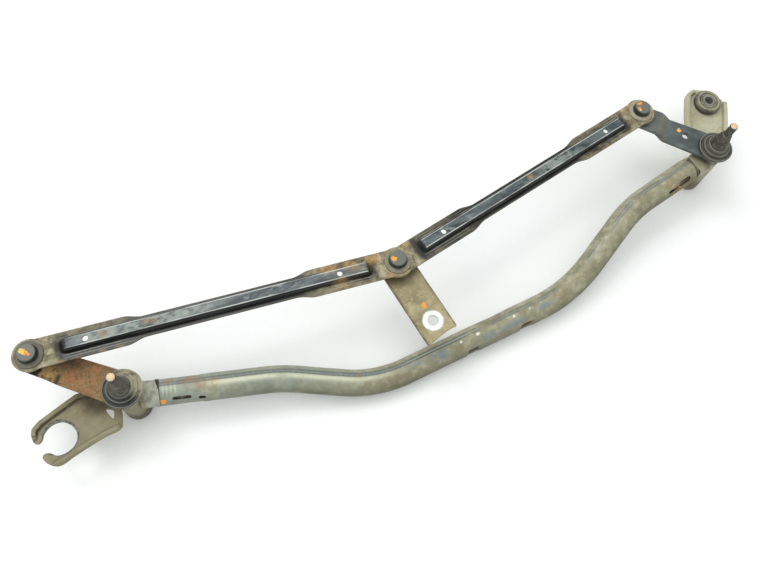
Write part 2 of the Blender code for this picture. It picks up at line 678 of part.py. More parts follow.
def right_housing():
    made = barrel("right_housing", RIGHT_SPINDLE)
    body, spigot = neck("right_neck", RIGHT_SPINDLE, TUBE_CORNERS[-1], RIGHT_TUBE_HEIGHT)
    low = TAB_UNDERSIDE_HEIGHT
    high = low + TAB_THICKNESS
    plate = flat("tab_plate", tab_outline(), low, high, RIGHT_SPINDLE, TAB_ANGLE)
    join(made, body, spigot, plate)
    edge = [(BARREL_DIAMETER * 0.42, -BARREL_DIAMETER * 0.57), (TAB_TAPER_END, -TAB_WIDTH / 2),
            (TAB_RIB_END, -TAB_WIDTH / 2)]
    for side, name, width in ((1.0, "tab_right_rib", TAB_RIGHT_RIB_WIDTH),
                              (-1.0, "tab_left_rib", TAB_LEFT_RIB_WIDTH)):
        outline = [(x, y * side) for x, y in strip(edge, TAB_RIB_INSET, width)]
        join(made, flat(name, outline, low + TAB_THICKNESS / 2, high + TAB_RIB_HEIGHT, RIGHT_SPINDLE, TAB_ANGLE))
    hole = circle((GROMMET_PLACE, 0.0), GROMMET_GROOVE_DIAMETER + 2 * GAP)
    cut(made, flat("grommet_hole", hole, low - 5.0, high + 5.0, RIGHT_SPINDLE, TAB_ANGLE),
        bore_cutter("right_bore", RIGHT_SPINDLE))
    return made


def grommet(centre):
    """Rubber grommet in the tab, and the steel sleeve in its bore."""
    low = TAB_UNDERSIDE_HEIGHT
    high = low + TAB_THICKNESS
    groove = GROMMET_GROOVE_DIAMETER / 2
    outer = GROMMET_DIAMETER / 2
    top = GROMMET_TOP_DIAMETER / 2
    bore = SLEEVE_DIAMETER / 2 + GAP
    top_height = high + GROMMET_TOP_HEIGHT
    foot = low - GROMMET_FOOT_HEIGHT
    profile = [(top - 0.8, top_height), (top, top_height - 0.8), (outer, top_height - 2.6),
               (outer, high + 1.2), (outer - 1.0, high + GAP), (groove, high + GAP),
               (groove, low - GAP), (outer - 1.0, low - GAP), (outer, low - 1.2),
               (outer - 1.4, foot), (bore, foot), (bore, top_height)]
    turned("tab_grommet", profile, centre, ring=True)
    tube_ring("grommet_sleeve", SLEEVE_DIAMETER, SLEEVE_BORE, foot - 0.4, top_height + 0.4, centre, SMALL_STEPS)


def spindle(name, centre):
    """Threaded spindle: thread, taper, shoulder, shaft and the groove for its clip."""
    thread = THREAD_DIAMETER / 2
    shaft = SHAFT_DIAMETER / 2
    groove_low = SPINDLE_END_HEIGHT + 1.0 - GAP / 2
    groove_high = SPINDLE_END_HEIGHT + 1.0 + CLIP_THICKNESS + GAP / 2
    shoulder = SHOULDER_DIAMETER / 2
    profile = [(0.0, SPINDLE_TIP_HEIGHT), (thread - 0.7, SPINDLE_TIP_HEIGHT), (thread, SPINDLE_TIP_HEIGHT - 0.8),
               (thread, CONE_TOP_HEIGHT), (CONE_TOP_DIAMETER / 2 - 0.4, CONE_TOP_HEIGHT),
               (CONE_TOP_DIAMETER / 2, CONE_TOP_HEIGHT - 0.6), (CONE_BASE_DIAMETER / 2, CONE_BASE_HEIGHT),
               (shoulder, CONE_BASE_HEIGHT - 0.8), (shoulder, SHOULDER_BOTTOM_HEIGHT),
               (shaft, SHOULDER_BOTTOM_HEIGHT), (shaft, groove_high), (shaft - CLIP_GROOVE_DEPTH, groove_high),
               (shaft - CLIP_GROOVE_DEPTH, groove_low), (shaft, groove_low),
               (shaft, SPINDLE_END_HEIGHT + 0.5), (shaft - 0.5, SPINDLE_END_HEIGHT), (0.0, SPINDLE_END_HEIGHT)]
    return turned(name, profile, centre, steps=24)


def dust_cap(name, centre):
    """Stepped dust cap between lever and spindle shoulder."""
    bore = SHAFT_DIAMETER / 2 + GAP
    disc = CAP_DISC_DIAMETER / 2
    step = CAP_STEP_DIAMETER / 2
    collar = CAP_COLLAR_DIAMETER / 2
    disc_top = CAP_BOTTOM_HEIGHT + CAP_DISC_THICKNESS
    step_top = disc_top + CAP_STEP_THICKNESS
    profile = [(collar - 0.6, CAP_TOP_HEIGHT), (collar, CAP_TOP_HEIGHT - 0.8), (collar + 0.6, step_top),
               (step - 0.5, step_top), (step, step_top - 0.6), (step + 0.4, disc_top),
               (disc - 0.7, disc_top), (disc, disc_top - 0.8), (disc, CAP_BOTTOM_HEIGHT),
               (bore, CAP_BOTTOM_HEIGHT), (bore, CAP_TOP_HEIGHT)]
    return turned(name, profile, centre, ring=True)


def clip_ring(name, centre):
    """Open spring ring in the spindle's groove."""
    low = SPINDLE_END_HEIGHT + 1.0
    inner = SHAFT_DIAMETER - 2 * CLIP_GROOVE_DEPTH + 2 * GAP
    made = tube_ring(name, CLIP_DIAMETER, inner, low, low + CLIP_THICKNESS, centre, SMALL_STEPS)
    gap = block(name + "_gap", (CLIP_DIAMETER, 4.0, 4.0), centre + Vector((CLIP_DIAMETER / 2, 0.0, low)))
    cut(made, gap)
    return made


def spindle_set(side, centre):
    """Everything that a spindle carries or turns in, apart from its lever."""
    spindle(side + "_spindle", centre)
    dust_cap(side + "_dust_cap", centre)
    clip_ring(side + "_circlip", centre)
    tube_ring(side + "_top_washer", TOP_WASHER_DIAMETER, BUSH_BORE, BARREL_HEIGHT + GAP,
              BARREL_HEIGHT + GAP + WASHER_THICKNESS, centre)
    tube_ring(side + "_bottom_washer", BOTTOM_WASHER_DIAMETER, BUSH_BORE, BOTTOM_WASHER_HEIGHT,
              BOTTOM_WASHER_HEIGHT + WASHER_THICKNESS, centre, SMALL_STEPS)
    tube_ring(side + "_upper_bush", BUSH_DIAMETER, BUSH_BORE, BARREL_HEIGHT - UPPER_BUSH_LENGTH,
              BARREL_HEIGHT, centre, SMALL_STEPS)
    tube_ring(side + "_lower_bush", BUSH_DIAMETER, BUSH_BORE, LOWER_BUSH_HEIGHT,
              LOWER_BUSH_HEIGHT + LOWER_BUSH_LENGTH, centre, SMALL_STEPS)
    radius = PLUG_DIAMETER / 2
    turned(side + "_end_plug", [(0.0, PLUG_THICKNESS), (radius, PLUG_THICKNESS), (radius, 0.0), (0.0, 0.0)],
           centre, steps=SMALL_STEPS)


def plate_outline():
    """Plan of the motor crank plate, with +X from its stud to its shaft hole."""
    half = PLATE_WIDTH / 2
    length = MOTOR_CRANK_LENGTH
    end = [(length + PLATE_END_LEFT, -half), (length + PLATE_END_LEFT - 1.4, -half * 0.45),
           (length + PLATE_END_MIDDLE, 0.0), (length + PLATE_END_MIDDLE - 0.5, half * 0.5),
           (length + PLATE_END_RIGHT, half)]
    return arc((0.0, 0.0), half, 90.0, 270.0, 17) + end


def motor_crank():
    low = PLATE_UNDERSIDE_HEIGHT
    high = low + PLATE_THICKNESS
    made = flat("motor_crank_plate", plate_outline(), low, high, CENTRE_JOINT, MOTOR_CRANK_ANGLE)
    stud_hole = circle((0.0, 0.0), STUD_SHANK_DIAMETER + 2 * GAP, 24)
    shaft_hole = circle((MOTOR_CRANK_LENGTH, 0.0), PLATE_HOLE_DIAMETER)
    cut(made, flat("plate_stud_hole", stud_hole, low - 5.0, high + 5.0, CENTRE_JOINT, MOTOR_CRANK_ANGLE),
        flat("plate_shaft_hole", shaft_hole, low - 5.0, high + 5.0, CENTRE_JOINT, MOTOR_CRANK_ANGLE))
    return made


def ball_height(sheet_top, clearance):
    """Height of a ball's centre under the cap of its socket."""
    cap_top = sheet_top + GAP + SOCKET_FLANGE_THICKNESS + SOCKET_CAP_HEIGHT
    return cap_top - SOCKET_TOP_WALL - clearance - BALL_DIAMETER / 2


def build():
    rod_span = RIGHT_JOINT - CENTRE_JOINT
    rod_angle = math.degrees(math.atan2(rod_span.y, rod_span.x))
    tip_low = LEVER_UNDERSIDE_HEIGHT + LEVER_JOGGLE
    tip_high = LEVER_TOP_HEIGHT + LEVER_JOGGLE
    left_ball = ball_height(LEFT_ROD_TOP_HEIGHT, BALL_CLEARANCE)
    right_ball = ball_height(RIGHT_ROD_TOP_HEIGHT, OPEN_BALL_CLEARANCE)

    frame_tube()
    left_housing()
    right_housing()
    grommet(RIGHT_SPINDLE + GROMMET_PLACE * direction(TAB_ANGLE))
    spindle_set("left", LEFT_SPINDLE)
    spindle_set("right", RIGHT_SPINDLE)

    lever("left_lever", LEFT_CRANK_LENGTH, LEFT_CRANK_ANGLE, LEFT_SPINDLE)
    right = lever("right_lever", RIGHT_CRANK_LENGTH, RIGHT_CRANK_ANGLE, RIGHT_SPINDLE)
    spot = circle((RIGHT_LEVER_HOLE_PLACE, RIGHT_LEVER_HOLE_SIDE), RIGHT_LEVER_HOLE_DIAMETER, 20)
    cut(right, flat("right_lever_hole", spot, LEVER_UNDERSIDE_HEIGHT - 5.0, LEVER_TOP_HEIGHT + 5.0,
                    RIGHT_SPINDLE, RIGHT_CRANK_ANGLE))
    ball_stud("left_ball_stud", LEFT_JOINT, tip_low, tip_high, left_ball)
    ball_stud("right_ball_stud", RIGHT_JOINT, tip_low, tip_high, right_ball)
    ball_stud("motor_crank_ball_stud", CENTRE_JOINT, PLATE_UNDERSIDE_HEIGHT,
              PLATE_UNDERSIDE_HEIGHT + PLATE_THICKNESS, left_ball)
    motor_crank()

    drive_rod("left_rod", LEFT_ROD_LENGTH, LEFT_ROD_ANGLE, LEFT_JOINT, LEFT_ROD_UNDERSIDE_HEIGHT,
              LEFT_ROD_HOLE_PLACES, (EYE_HOLE_DIAMETER, EYE_HOLE_DIAMETER))
    drive_rod("right_rod", rod_span.length, rod_angle, CENTRE_JOINT, ROD_UNDERSIDE_HEIGHT,
              RIGHT_ROD_HOLE_PLACES, (RIGHT_EYE_HOLE_DIAMETER, EYE_HOLE_DIAMETER))
    collar_bottom = LEFT_ROD_UNDERSIDE_HEIGHT - SOCKET_COLLAR_DROP
    socket("left_joint_socket", LEFT_JOINT, LEFT_ROD_TOP_HEIGHT, collar_bottom, left_ball, BALL_CLEARANCE)
    centre_bottom = ROD_UNDERSIDE_HEIGHT - CENTRE_BUSH_FLANGE_THICKNESS - GAP
    socket("centre_joint_socket", CENTRE_JOINT, LEFT_ROD_TOP_HEIGHT, centre_bottom, left_ball, BALL_CLEARANCE)
    socket("right_joint_socket", RIGHT_JOINT, RIGHT_ROD_TOP_HEIGHT,
           ROD_UNDERSIDE_HEIGHT - SOCKET_COLLAR_DROP, right_ball, OPEN_BALL_CLEARANCE)
    bush_bore = EYE_HOLE_DIAMETER / 2
    bush_outer = bush_bore + CENTRE_BUSH_WALL
    bush_flange = CENTRE_BUSH_FLANGE_DIAMETER / 2
    bush_bottom = ROD_UNDERSIDE_HEIGHT - GAP - CENTRE_BUSH_FLANGE_THICKNESS
    turned("centre_bush", [(bush_outer, RIGHT_ROD_TOP_HEIGHT), (bush_outer, ROD_UNDERSIDE_HEIGHT - GAP),
                           (bush_flange, ROD_UNDERSIDE_HEIGHT - GAP), (bush_flange, bush_bottom),
                           (bush_bore, bush_bottom), (bush_bore, RIGHT_ROD_TOP_HEIGHT)],
           CENTRE_JOINT, ring=True)


FINISH_OF = {
    "frame_tube": "galvanised", "left_housing": "casting", "right_housing": "casting",
    "left_lever": "rusty_plate", "right_lever": "black_plate", "motor_crank_plate": "olive_plate",
    "left_rod": "black_paint", "right_rod": "black_paint",
    "left_joint_socket": "plastic", "centre_joint_socket": "plastic", "right_joint_socket": "plastic",
    "centre_bush": "plastic", "left_dust_cap": "black_rubber", "right_dust_cap": "black_rubber",
    "tab_grommet": "black_rubber", "grommet_sleeve": "bright_steel",
    "left_upper_bush": "bronze", "left_lower_bush": "bronze",
    "right_upper_bush": "bronze", "right_lower_bush": "bronze",
    "left_end_plug": "plastic", "right_end_plug": "plastic",
}

BODIES = {
    "left_crank": (LEFT_SPINDLE, ("left_spindle", "left_lever", "left_dust_cap", "left_top_washer",
                                  "left_bottom_washer", "left_circlip", "left_ball_stud")),
    "right_crank": (RIGHT_SPINDLE, ("right_spindle", "right_lever", "right_dust_cap", "right_top_washer",
                                    "right_bottom_washer", "right_circlip", "right_ball_stud")),
    "left_rod_body": (LEFT_JOINT, ("left_rod", "left_joint_socket", "centre_joint_socket")),
    "right_rod_body": (CENTRE_JOINT, ("right_rod", "right_joint_socket", "centre_bush")),
    "motor_crank": (CENTRE_JOINT, ("motor_crank_plate", "motor_crank_ball_stud")),
}


def gather():
    """Parents each moving body's pieces to an empty on its joint axis, and paints every piece."""
    for name, (axis_point, pieces) in BODIES.items():
        axis = bpy.data.objects.new(name + "_axis", None)
        axis.location = axis_point * mm
        shapes.objects.link(axis)
        for piece_name in pieces:
            piece = shapes.objects[piece_name]
            piece.parent = axis
            piece.location = piece.location - axis.location
    for piece in shapes.objects:
        if piece.type == "MESH":
            piece.data.materials.clear()
            piece.data.materials.append(finish(FINISH_OF.get(piece.name, "steel")))


for old in list(bpy.data.objects):
    bpy.data.objects.remove(old)
shapes = collection("wiper_linkage")
guides = collection("wiper_linkage_guides")
build()
gather()
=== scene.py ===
import json
import math

import bmesh
import bpy
import numpy as np
from mathutils import Matrix, Vector


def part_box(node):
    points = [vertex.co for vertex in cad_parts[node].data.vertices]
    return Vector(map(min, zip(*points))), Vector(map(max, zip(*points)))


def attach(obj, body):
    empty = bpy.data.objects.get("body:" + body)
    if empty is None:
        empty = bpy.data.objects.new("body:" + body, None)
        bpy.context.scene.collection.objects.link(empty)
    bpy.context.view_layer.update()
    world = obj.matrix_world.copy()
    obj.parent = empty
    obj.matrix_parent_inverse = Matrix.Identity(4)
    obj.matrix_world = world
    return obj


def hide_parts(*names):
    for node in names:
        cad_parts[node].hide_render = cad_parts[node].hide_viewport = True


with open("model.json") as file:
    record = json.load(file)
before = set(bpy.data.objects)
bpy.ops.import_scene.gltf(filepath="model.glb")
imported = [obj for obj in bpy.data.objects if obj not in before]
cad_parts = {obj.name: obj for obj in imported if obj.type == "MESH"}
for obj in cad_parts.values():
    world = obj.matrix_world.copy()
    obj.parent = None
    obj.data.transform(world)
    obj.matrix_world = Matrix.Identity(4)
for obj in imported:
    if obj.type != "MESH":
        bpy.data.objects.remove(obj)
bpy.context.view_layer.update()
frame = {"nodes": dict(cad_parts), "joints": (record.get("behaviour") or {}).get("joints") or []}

# Shapes are worked out in millimetres and stored in metres
mm = 0.001
jointAt = {j["name"]: np.array(j["pos_m"]) / mm for j in frame["joints"]}


def cadHeights(node):
    # lowest and highest z of a CAD solid
    return [float(corner[2]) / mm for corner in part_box(node)]


def cadMiddle(node):
    # middle of a CAD solid in plan
    low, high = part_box(node)
    return (np.array(low) / mm + np.array(high) / mm)[:2] / 2


leftSpindle = jointAt["left_spindle_turn"][:2]
rightSpindle = jointAt["right_spindle_turn"][:2]
leftJoint = jointAt["left_rod_swing"][:2]
centreJoint = jointAt["right_rod_swing"][:2]
rightJoint = cadMiddle("right_joint_socket")
grommetCentre = cadMiddle("grommet_sleeve")
print("frame loaded:", len(frame["nodes"]), "nodes")


def smoothStep(t):
    # s(t) = 3t^2 - 2t^3 between 0 and 1
    t = np.clip(t, 0.0, 1.0)
    return t * t * (3.0 - 2.0 * t)


def rising(value, start, width):
    # 0 up to the start, 1 from the start plus the width
    return smoothStep((value - start) / width)


def falling(value, end, width):
    # 1 up to the end less the width, 0 from the end
    return smoothStep((end - value) / width)


def bell(distance, size):
    # b(d) = exp(-(d / size)^2)
    return np.exp(-(distance / size) ** 2)


def strongest(*values):
    return np.maximum.reduce(values)


def unit(vectors):
    length = np.linalg.norm(vectors, axis=-1, keepdims=True)
    return vectors / np.maximum(length, 1e-9)


def lengthAndAngle(start, end):
    across, up = end - start
    return float(np.hypot(across, up)), math.degrees(math.atan2(up, across))


def withoutRepeats(points):
    step = np.linalg.norm(np.diff(points, axis=0), axis=1)
    return points[np.concatenate([[True], step > 1e-4])]


def roundedCorners(corners, steps=5):
    # corner (x, y, reach) becomes Q(t) = (1-t)^2 A + 2t(1-t) C + t^2 B,
    # with A and B at the reach along its sides
    table = np.asarray(corners, float)
    corner = table[:, :2]
    before = np.roll(corner, 1, 0) - corner
    after = np.roll(corner, -1, 0) - corner
    shortest = np.minimum(np.linalg.norm(before, axis=1), np.linalg.norm(after, axis=1))
    reach = np.minimum(table[:, 2], 0.48 * shortest)[:, None]
    start = (corner + unit(before) * reach)[:, None]
    end = (corner + unit(after) * reach)[:, None]
    t = np.linspace(0.0, 1.0, steps)[None, :, None]
    curve = (1 - t) ** 2 * start + 2 * t * (1 - t) * corner[:, None] + t ** 2 * end
    return withoutRepeats(curve.reshape(-1, 2))


def loopThrough(points, count):
    # closed Catmull-Rom: C(t) = (2P1 + (P2-P0)t + (2P0-5P1+4P2-P3)t^2 + (3P1-P0-3P2+P3)t^3) / 2
    p1 = np.asarray(points, float)
    p0, p2, p3 = np.roll(p1, 1, 0), np.roll(p1, -1, 0), np.roll(p1, -2, 0)
    t = np.linspace(0.0, 1.0, count, endpoint=False)[None, :, None]
    p0, p1, p2, p3 = p0[:, None], p1[:, None], p2[:, None], p3[:, None]
    curve = (2 * p1 + (p2 - p0) * t + (2 * p0 - 5 * p1 + 4 * p2 - p3) * t ** 2
             + (3 * p1 - p0 - 3 * p2 + p3) * t ** 3) / 2
    return curve.reshape(-1, 2)


def placed(points, origin, angle):
    # turned by the angle about +Z, then moved: (x cos a - y sin a + ox, x sin a + y cos a + oy, z)
    turn = math.radians(angle)
    x = points[..., 0] * math.cos(turn) - points[..., 1] * math.sin(turn) + origin[0]
    y = points[..., 0] * math.sin(turn) + points[..., 1] * math.cos(turn) + origin[1]
    return np.stack([x, y, points[..., 2]], -1)


def placedFlat(points, origin, angle):
    return placed(np.concatenate([points, np.zeros((len(points), 1))], 1), origin, angle)[:, :2]


def grid(points):
    # rows x columns of points; quads between neighbours, and the last column joins the first
    rows, columns = points.shape[:2]
    index = np.arange(rows * columns).reshape(rows, columns)
    nextIndex = np.roll(index, -1, 1)
    quads = np.stack([index[:-1], nextIndex[:-1], nextIndex[1:], index[1:]], -1).reshape(-1)
    return points.reshape(-1, 3), quads, np.full(quads.size // 4, 4)


def turned(profile, centre, columns=96, closed=False):
    # P(i, a) = centre + (r_i cos a, r_i sin a, z_i)
    profile = np.asarray(profile, float)
    if closed:
        profile = np.concatenate([profile, profile[:1]])
    a = np.linspace(0.0, 2 * np.pi, columns, endpoint=False)[None, :]
    r = profile[:, :1]
    z = profile[:, 1:2]
    return grid(np.stack([centre[0] + r * np.cos(a), centre[1] + r * np.sin(a), z + 0 * a], -1))


def slab(outline, low, high, edge):
    # walls W(k, i) = O_i - inset_k N_i at height z_k, N the outward normal, with a flat lid at each end
    ring = np.asarray(outline, float)
    following = np.roll(ring, -1, 0)
    if np.sum(ring[:, 0] * following[:, 1] - following[:, 0] * ring[:, 1]) < 0:
        ring = ring[::-1]
    along = unit(np.roll(ring, -1, 0) - np.roll(ring, 1, 0))
    outward = np.stack([along[:, 1], -along[:, 0]], 1)
    turn = np.linspace(0.0, np.pi / 2, 4)
    inset = edge * np.concatenate([1 - np.sin(turn), 1 - np.sin(turn[::-1])])
    height = np.concatenate([low + edge * (1 - np.cos(turn)), high - edge * (1 - np.cos(turn[::-1]))])
    flat = ring[None] - inset[:, None, None] * outward[None]
    points = np.concatenate([flat, np.broadcast_to(height[:, None, None], flat.shape[:2] + (1,))], -1)
    positions, loops, sizes = grid(points)
    count = len(ring)
    top = np.arange(len(positions) - count, len(positions))
    bottom = np.arange(count)[::-1]
    return positions, np.concatenate([loops, top, bottom]), np.concatenate([sizes, [count, count]])


def pressed(upper, section, thickness, edge, origin, angle):
    # middle surface M(i, j) = (x_i, y_ij, z_ij); skins M +- n thickness / 2 are joined by round edges,
    # E(f) = M +- n (thickness / 2 - edge) + edge (n sin f + o cos f), with o the plan outline's normal
    along = unit(np.gradient(upper, axis=0))
    outward = np.stack([-along[:, 1], along[:, 0]], 1)
    inner = upper - edge * outward
    inner[:, 1] = np.maximum(inner[:, 1], 0.0)
    y, z = section(inner[:, 0], inner[:, 1])
    middle = np.stack([np.repeat(inner[:, :1], y.shape[1], 1), y, z], -1)
    normal = np.cross(np.gradient(middle, axis=0), np.gradient(middle, axis=1))
    length = np.linalg.norm(normal, axis=-1, keepdims=True)
    normal = np.where(length > 1e-7, normal / np.maximum(length, 1e-9), np.array([0.0, 0.0, 1.0]))
    turn = np.radians([90, 60, 30, 0, 0, -30, -60, -90])[None, :, None]
    stand = np.array([1, 1, 1, 1, -1, -1, -1, -1])[None, :, None] * (thickness / 2 - edge)
    sides = []
    for column, sign in ((-1, 1.0), (0, -1.0)):
        n = normal[:, column][:, None]
        o = np.stack([outward[:, 0], sign * outward[:, 1], 0 * outward[:, 0]], -1)[:, None]
        o = unit(o - n * np.sum(n * o, -1, keepdims=True))
        line = middle[:, column][:, None]
        sides.append(line + n * (stand + edge * np.sin(turn)) + o * edge * np.cos(turn))
    top = middle + normal * thickness / 2
    bottom = middle - normal * thickness / 2
    loop = [top, sides[0][:, 1:-1], bottom[:, ::-1], sides[1][:, ::-1][:, 1:-1]]
    return grid(placed(np.concatenate(loop, 1), origin, angle))


def smoothShaded(mesh, sharpAngle):
    mesh.polygons.foreach_set("use_smooth", np.ones(len(mesh.polygons), bool))
    mesh.set_sharp_from_angle(angle=math.radians(sharpAngle))


def newPiece(name, blocks, sharpAngle=40.0):
    # one mesh from blocks of points, loops and face sizes, with doubles merged and faces outward
    starts = np.cumsum([0] + [len(block[0]) for block in blocks[:-1]])
    points = np.concatenate([block[0] for block in blocks]) * mm
    loops = np.concatenate([block[1] + start for block, start in zip(blocks, starts)])
    sizes = np.concatenate([block[2] for block in blocks])
    loopStarts = np.concatenate([[0], np.cumsum(sizes)[:-1]])
    mesh = bpy.data.meshes.new(name)
    mesh.vertices.add(len(points))
    mesh.vertices.foreach_set("co", points.ravel())
    mesh.loops.add(len(loops))
    mesh.loops.foreach_set("vertex_index", loops.astype(np.int32))
    mesh.polygons.add(len(sizes))
    mesh.polygons.foreach_set("loop_start", loopStarts.astype(np.int32))
    mesh.update(calc_edges=True)
    net = bmesh.new()
    net.from_mesh(mesh)
    bmesh.ops.remove_doubles(net, verts=net.verts, dist=0.003 * mm)
    bmesh.ops.dissolve_degenerate(net, edges=net.edges, dist=0.001 * mm)
    bmesh.ops.recalc_face_normals(net, faces=net.faces)
    net.to_mesh(mesh)
    net.free()
    smoothShaded(mesh, sharpAngle)
    piece = bpy.data.objects.new(name, mesh)
    bpy.context.scene.collection.objects.link(piece)
    return piece


def applied(piece, sharpAngle):
    # the piece keeps the mesh that its modifiers make
    graph = bpy.context.evaluated_depsgraph_get()
    mesh = bpy.data.meshes.new_from_object(piece.evaluated_get(graph))
    piece.modifiers.clear()
    piece.data = mesh
    smoothShaded(mesh, sharpAngle)


def cut(piece, cutters, sharpAngle=50.0):
    # the cutters are taken out of the piece and thrown away
    for cutter in cutters:
        step = piece.modifiers.new(cutter.name, "BOOLEAN")
        step.operation = "DIFFERENCE"
        step.solver = "EXACT"
        step.object = cutter
    applied(piece, sharpAngle)
    for cutter in cutters:
        bpy.data.objects.remove(cutter)


def drill(piece, holes, low, high):
    # round holes (x, y, diameter) straight down through the piece
    cutters = []
    for x, y, diameter in holes:
        profile = [(0, high), (diameter / 2, high), (diameter / 2, low), (0, low)]
        cutters.append(newPiece(piece.name + "_drill", [turned(profile, (x, y), 64)]))
    cut(piece, cutters)


def casting(name, blocks):
    # closed shells fused on a fine lattice, then rounded the way a die casting is
    piece = newPiece(name, blocks)
    fuse = piece.modifiers.new("fuse", "REMESH")
    fuse.mode = "VOXEL"
    fuse.voxel_size = housing["lattice"] * mm
    fuse.use_smooth_shade = True
    soften = piece.modifiers.new("soften", "SMOOTH")
    soften.factor = 0.5
    soften.iterations = 1
    applied(piece, 180.0)
    return piece


def roundPiece(name, corners, centre, columns):
    # a closed ring turned from a profile of corners (r, z, rounding)
    return newPiece(name, [turned(roundedCorners(corners), centre, columns, closed=True)], 35.0)


def pointsOf(piece):
    flat = np.empty(len(piece.data.vertices) * 3)
    piece.data.vertices.foreach_get("co", flat)
    return flat.reshape(-1, 3) / mm


def localTo(piece, origin, angle):
    # each point's place along, across and above a line that starts at the origin
    return placed(pointsOf(piece) - np.array([*origin, 0.0]), (0.0, 0.0), -angle).T


def mark(piece, name, values):
    # a named number from 0 to 1 on every point, which the materials read
    layer = piece.data.attributes.new(name, "FLOAT", "POINT")
    layer.data.foreach_set("value", np.clip(values, 0.0, 1.0).astype(np.float32))


def install(piece, body, material, node):
    piece.data.materials.clear()
    piece.data.materials.append(material)
    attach(piece, body)
    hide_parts(node)


def seen(red, green, blue):
    # colour as it looks on a screen, 0 to 255, as linear values
    share = np.array([red, green, blue]) / 255.0
    linear = np.where(share <= 0.04045, share / 12.92, ((share + 0.055) / 1.055) ** 2.4)
    return (*linear.tolist(), 1.0)


def feed(tree, node, values):
    # a socket is linked to the node's input, and any other value is set there
    for key, value in values.items():
        if isinstance(value, bpy.types.NodeSocket):
            tree.links.new(value, node.inputs[key])
        else:
            node.inputs[key].default_value = value


def addNode(tree, kind, values=None, **settings):
    made = tree.nodes.new(kind)
    for key, value in settings.items():
        setattr(made, key, value)
    feed(tree, made, values or {})
    return made


def newGroup(name, given, results):
    # shader group with a number or a vector for each input, and a number for each output
    tree = bpy.data.node_groups.new(name, "ShaderNodeTree")
    for socketName, value in given.items():
        kind = "NodeSocketVector" if isinstance(value, tuple) else "NodeSocketFloat"
        socket = tree.interface.new_socket(socketName, in_out="INPUT", socket_type=kind)
        socket.default_value = value
    for socketName in results:
        tree.interface.new_socket(socketName, in_out="OUTPUT", socket_type="NodeSocketFloat")
    spot = addNode(tree, "ShaderNodeTexCoord").outputs["Object"]
    return tree, spot, tree.nodes.new("NodeGroupInput").outputs, tree.nodes.new("NodeGroupOutput")


def ranged(tree, value, low, high):
    # 0 below low, 1 above high, smooth between
    values = {"Value": value, "From Min": low, "From Max": high}
    return addNode(tree, "ShaderNodeMapRange", values, interpolation_type="SMOOTHSTEP").outputs["Result"]


def maths(tree, operation, first, second=0.0):
    return addNode(tree, "ShaderNodeMath", {0: first, 1: second}, operation=operation).outputs[0]


def inverse(tree, value):
    return maths(tree, "SUBTRACT", 1.0, value)


def vectors(tree, operation, first, second):
    values = {0: first, "Scale" if operation == "SCALE" else 1: second}
    made = addNode(tree, "ShaderNodeVectorMath", values, operation=operation)
    return made.outputs["Value" if operation == "DISTANCE" else "Vector"]


def swung(tree, vector, angle):
    values = {"Vector": vector, "Angle": angle}
    return addNode(tree, "ShaderNodeVectorRotate", values, rotation_type="Z_AXIS").outputs[0]


def noise(tree, spot, scale, detail, roughness=0.5, output="Fac"):
    values = {"Vector": spot, "Scale": scale, "Detail": detail, "Roughness": roughness}
    return addNode(tree, "ShaderNodeTexNoise", values).outputs[output]


def blotchGroup():
    # soft patches: noise of the object's coordinates between two thresholds
    tree, spot, given, result = newGroup(
        "blotches",
        {"Scale": 60.0, "Detail": 4.0, "Low": 0.45, "High": 0.6,
         "Shift": (0, 0, 0), "Stretch": (1, 1, 1), "Turn": 0.0},
        ["Mask"])
    moved = vectors(tree, "ADD", spot, given["Shift"])
    scaled = vectors(tree, "MULTIPLY", swung(tree, moved, given["Turn"]), given["Stretch"])
    patches = noise(tree, scaled, given["Scale"], given["Detail"], 0.62)
    feed(tree, result, {"Mask": ranged(tree, patches, given["Low"], given["High"])})
    return tree


def edgeGroup():
    # convex edges worn in places, and the concave corners
    tree, spot, given, result = newGroup(
        "edge wear", {"Low": 0.51, "High": 0.56, "Breakup": 220.0, "Corner": 0.46}, ["Worn", "Concave"])
    bend = addNode(tree, "ShaderNodeNewGeometry").outputs["Pointiness"]
    patchy = ranged(tree, noise(tree, spot, given["Breakup"], 3.0), 0.38, 0.62)
    worn = maths(tree, "MULTIPLY", ranged(tree, bend, given["Low"], given["High"]), patchy)
    depth = inverse(tree, given["Corner"])
    concave = ranged(tree, inverse(tree, bend), depth, maths(tree, "ADD", depth, 0.04))
    feed(tree, result, {"Worn": worn, "Concave": concave})
    return tree


def dabGroup():
    # a ragged dab of paint round a point, as far as the size, in metres
    tree, spot, given, result = newGroup(
        "paint dab", {"Centre": (0, 0, 0), "Size": 0.003, "Ragged": 0.003}, ["Mask"])
    centred = vectors(tree, "SUBTRACT", noise(tree, spot, 420.0, 4.0, output="Color"), (0.5, 0.5, 0.5))
    moved = vectors(tree, "ADD", spot, vectors(tree, "SCALE", centred, given["Ragged"]))
    near = maths(tree, "DIVIDE", vectors(tree, "DISTANCE", moved, given["Centre"]), given["Size"])
    feed(tree, result, {"Mask": inverse(tree, ranged(tree, near, 0.8, 1.0))})
    return tree


def grainGroup():
    # fine relief of cast, rusted or moulded skin, as a height from 0 to 1
    tree, spot, given, result = newGroup("skin grain", {"Scale": 900.0, "Pits": 0.3}, ["Height"])
    fine = noise(tree, spot, given["Scale"], 5.0)
    coarse = maths(tree, "MULTIPLY", given["Scale"], 0.3)
    pit = addNode(tree, "ShaderNodeTexVoronoi", {"Vector": spot, "Scale": coarse}).outputs["Distance"]
    hollow = maths(tree, "MULTIPLY", ranged(tree, pit, 0.0, 0.35), given["Pits"])
    feed(tree, result, {"Height": maths(tree, "ADD", fine, hollow)})
    return tree


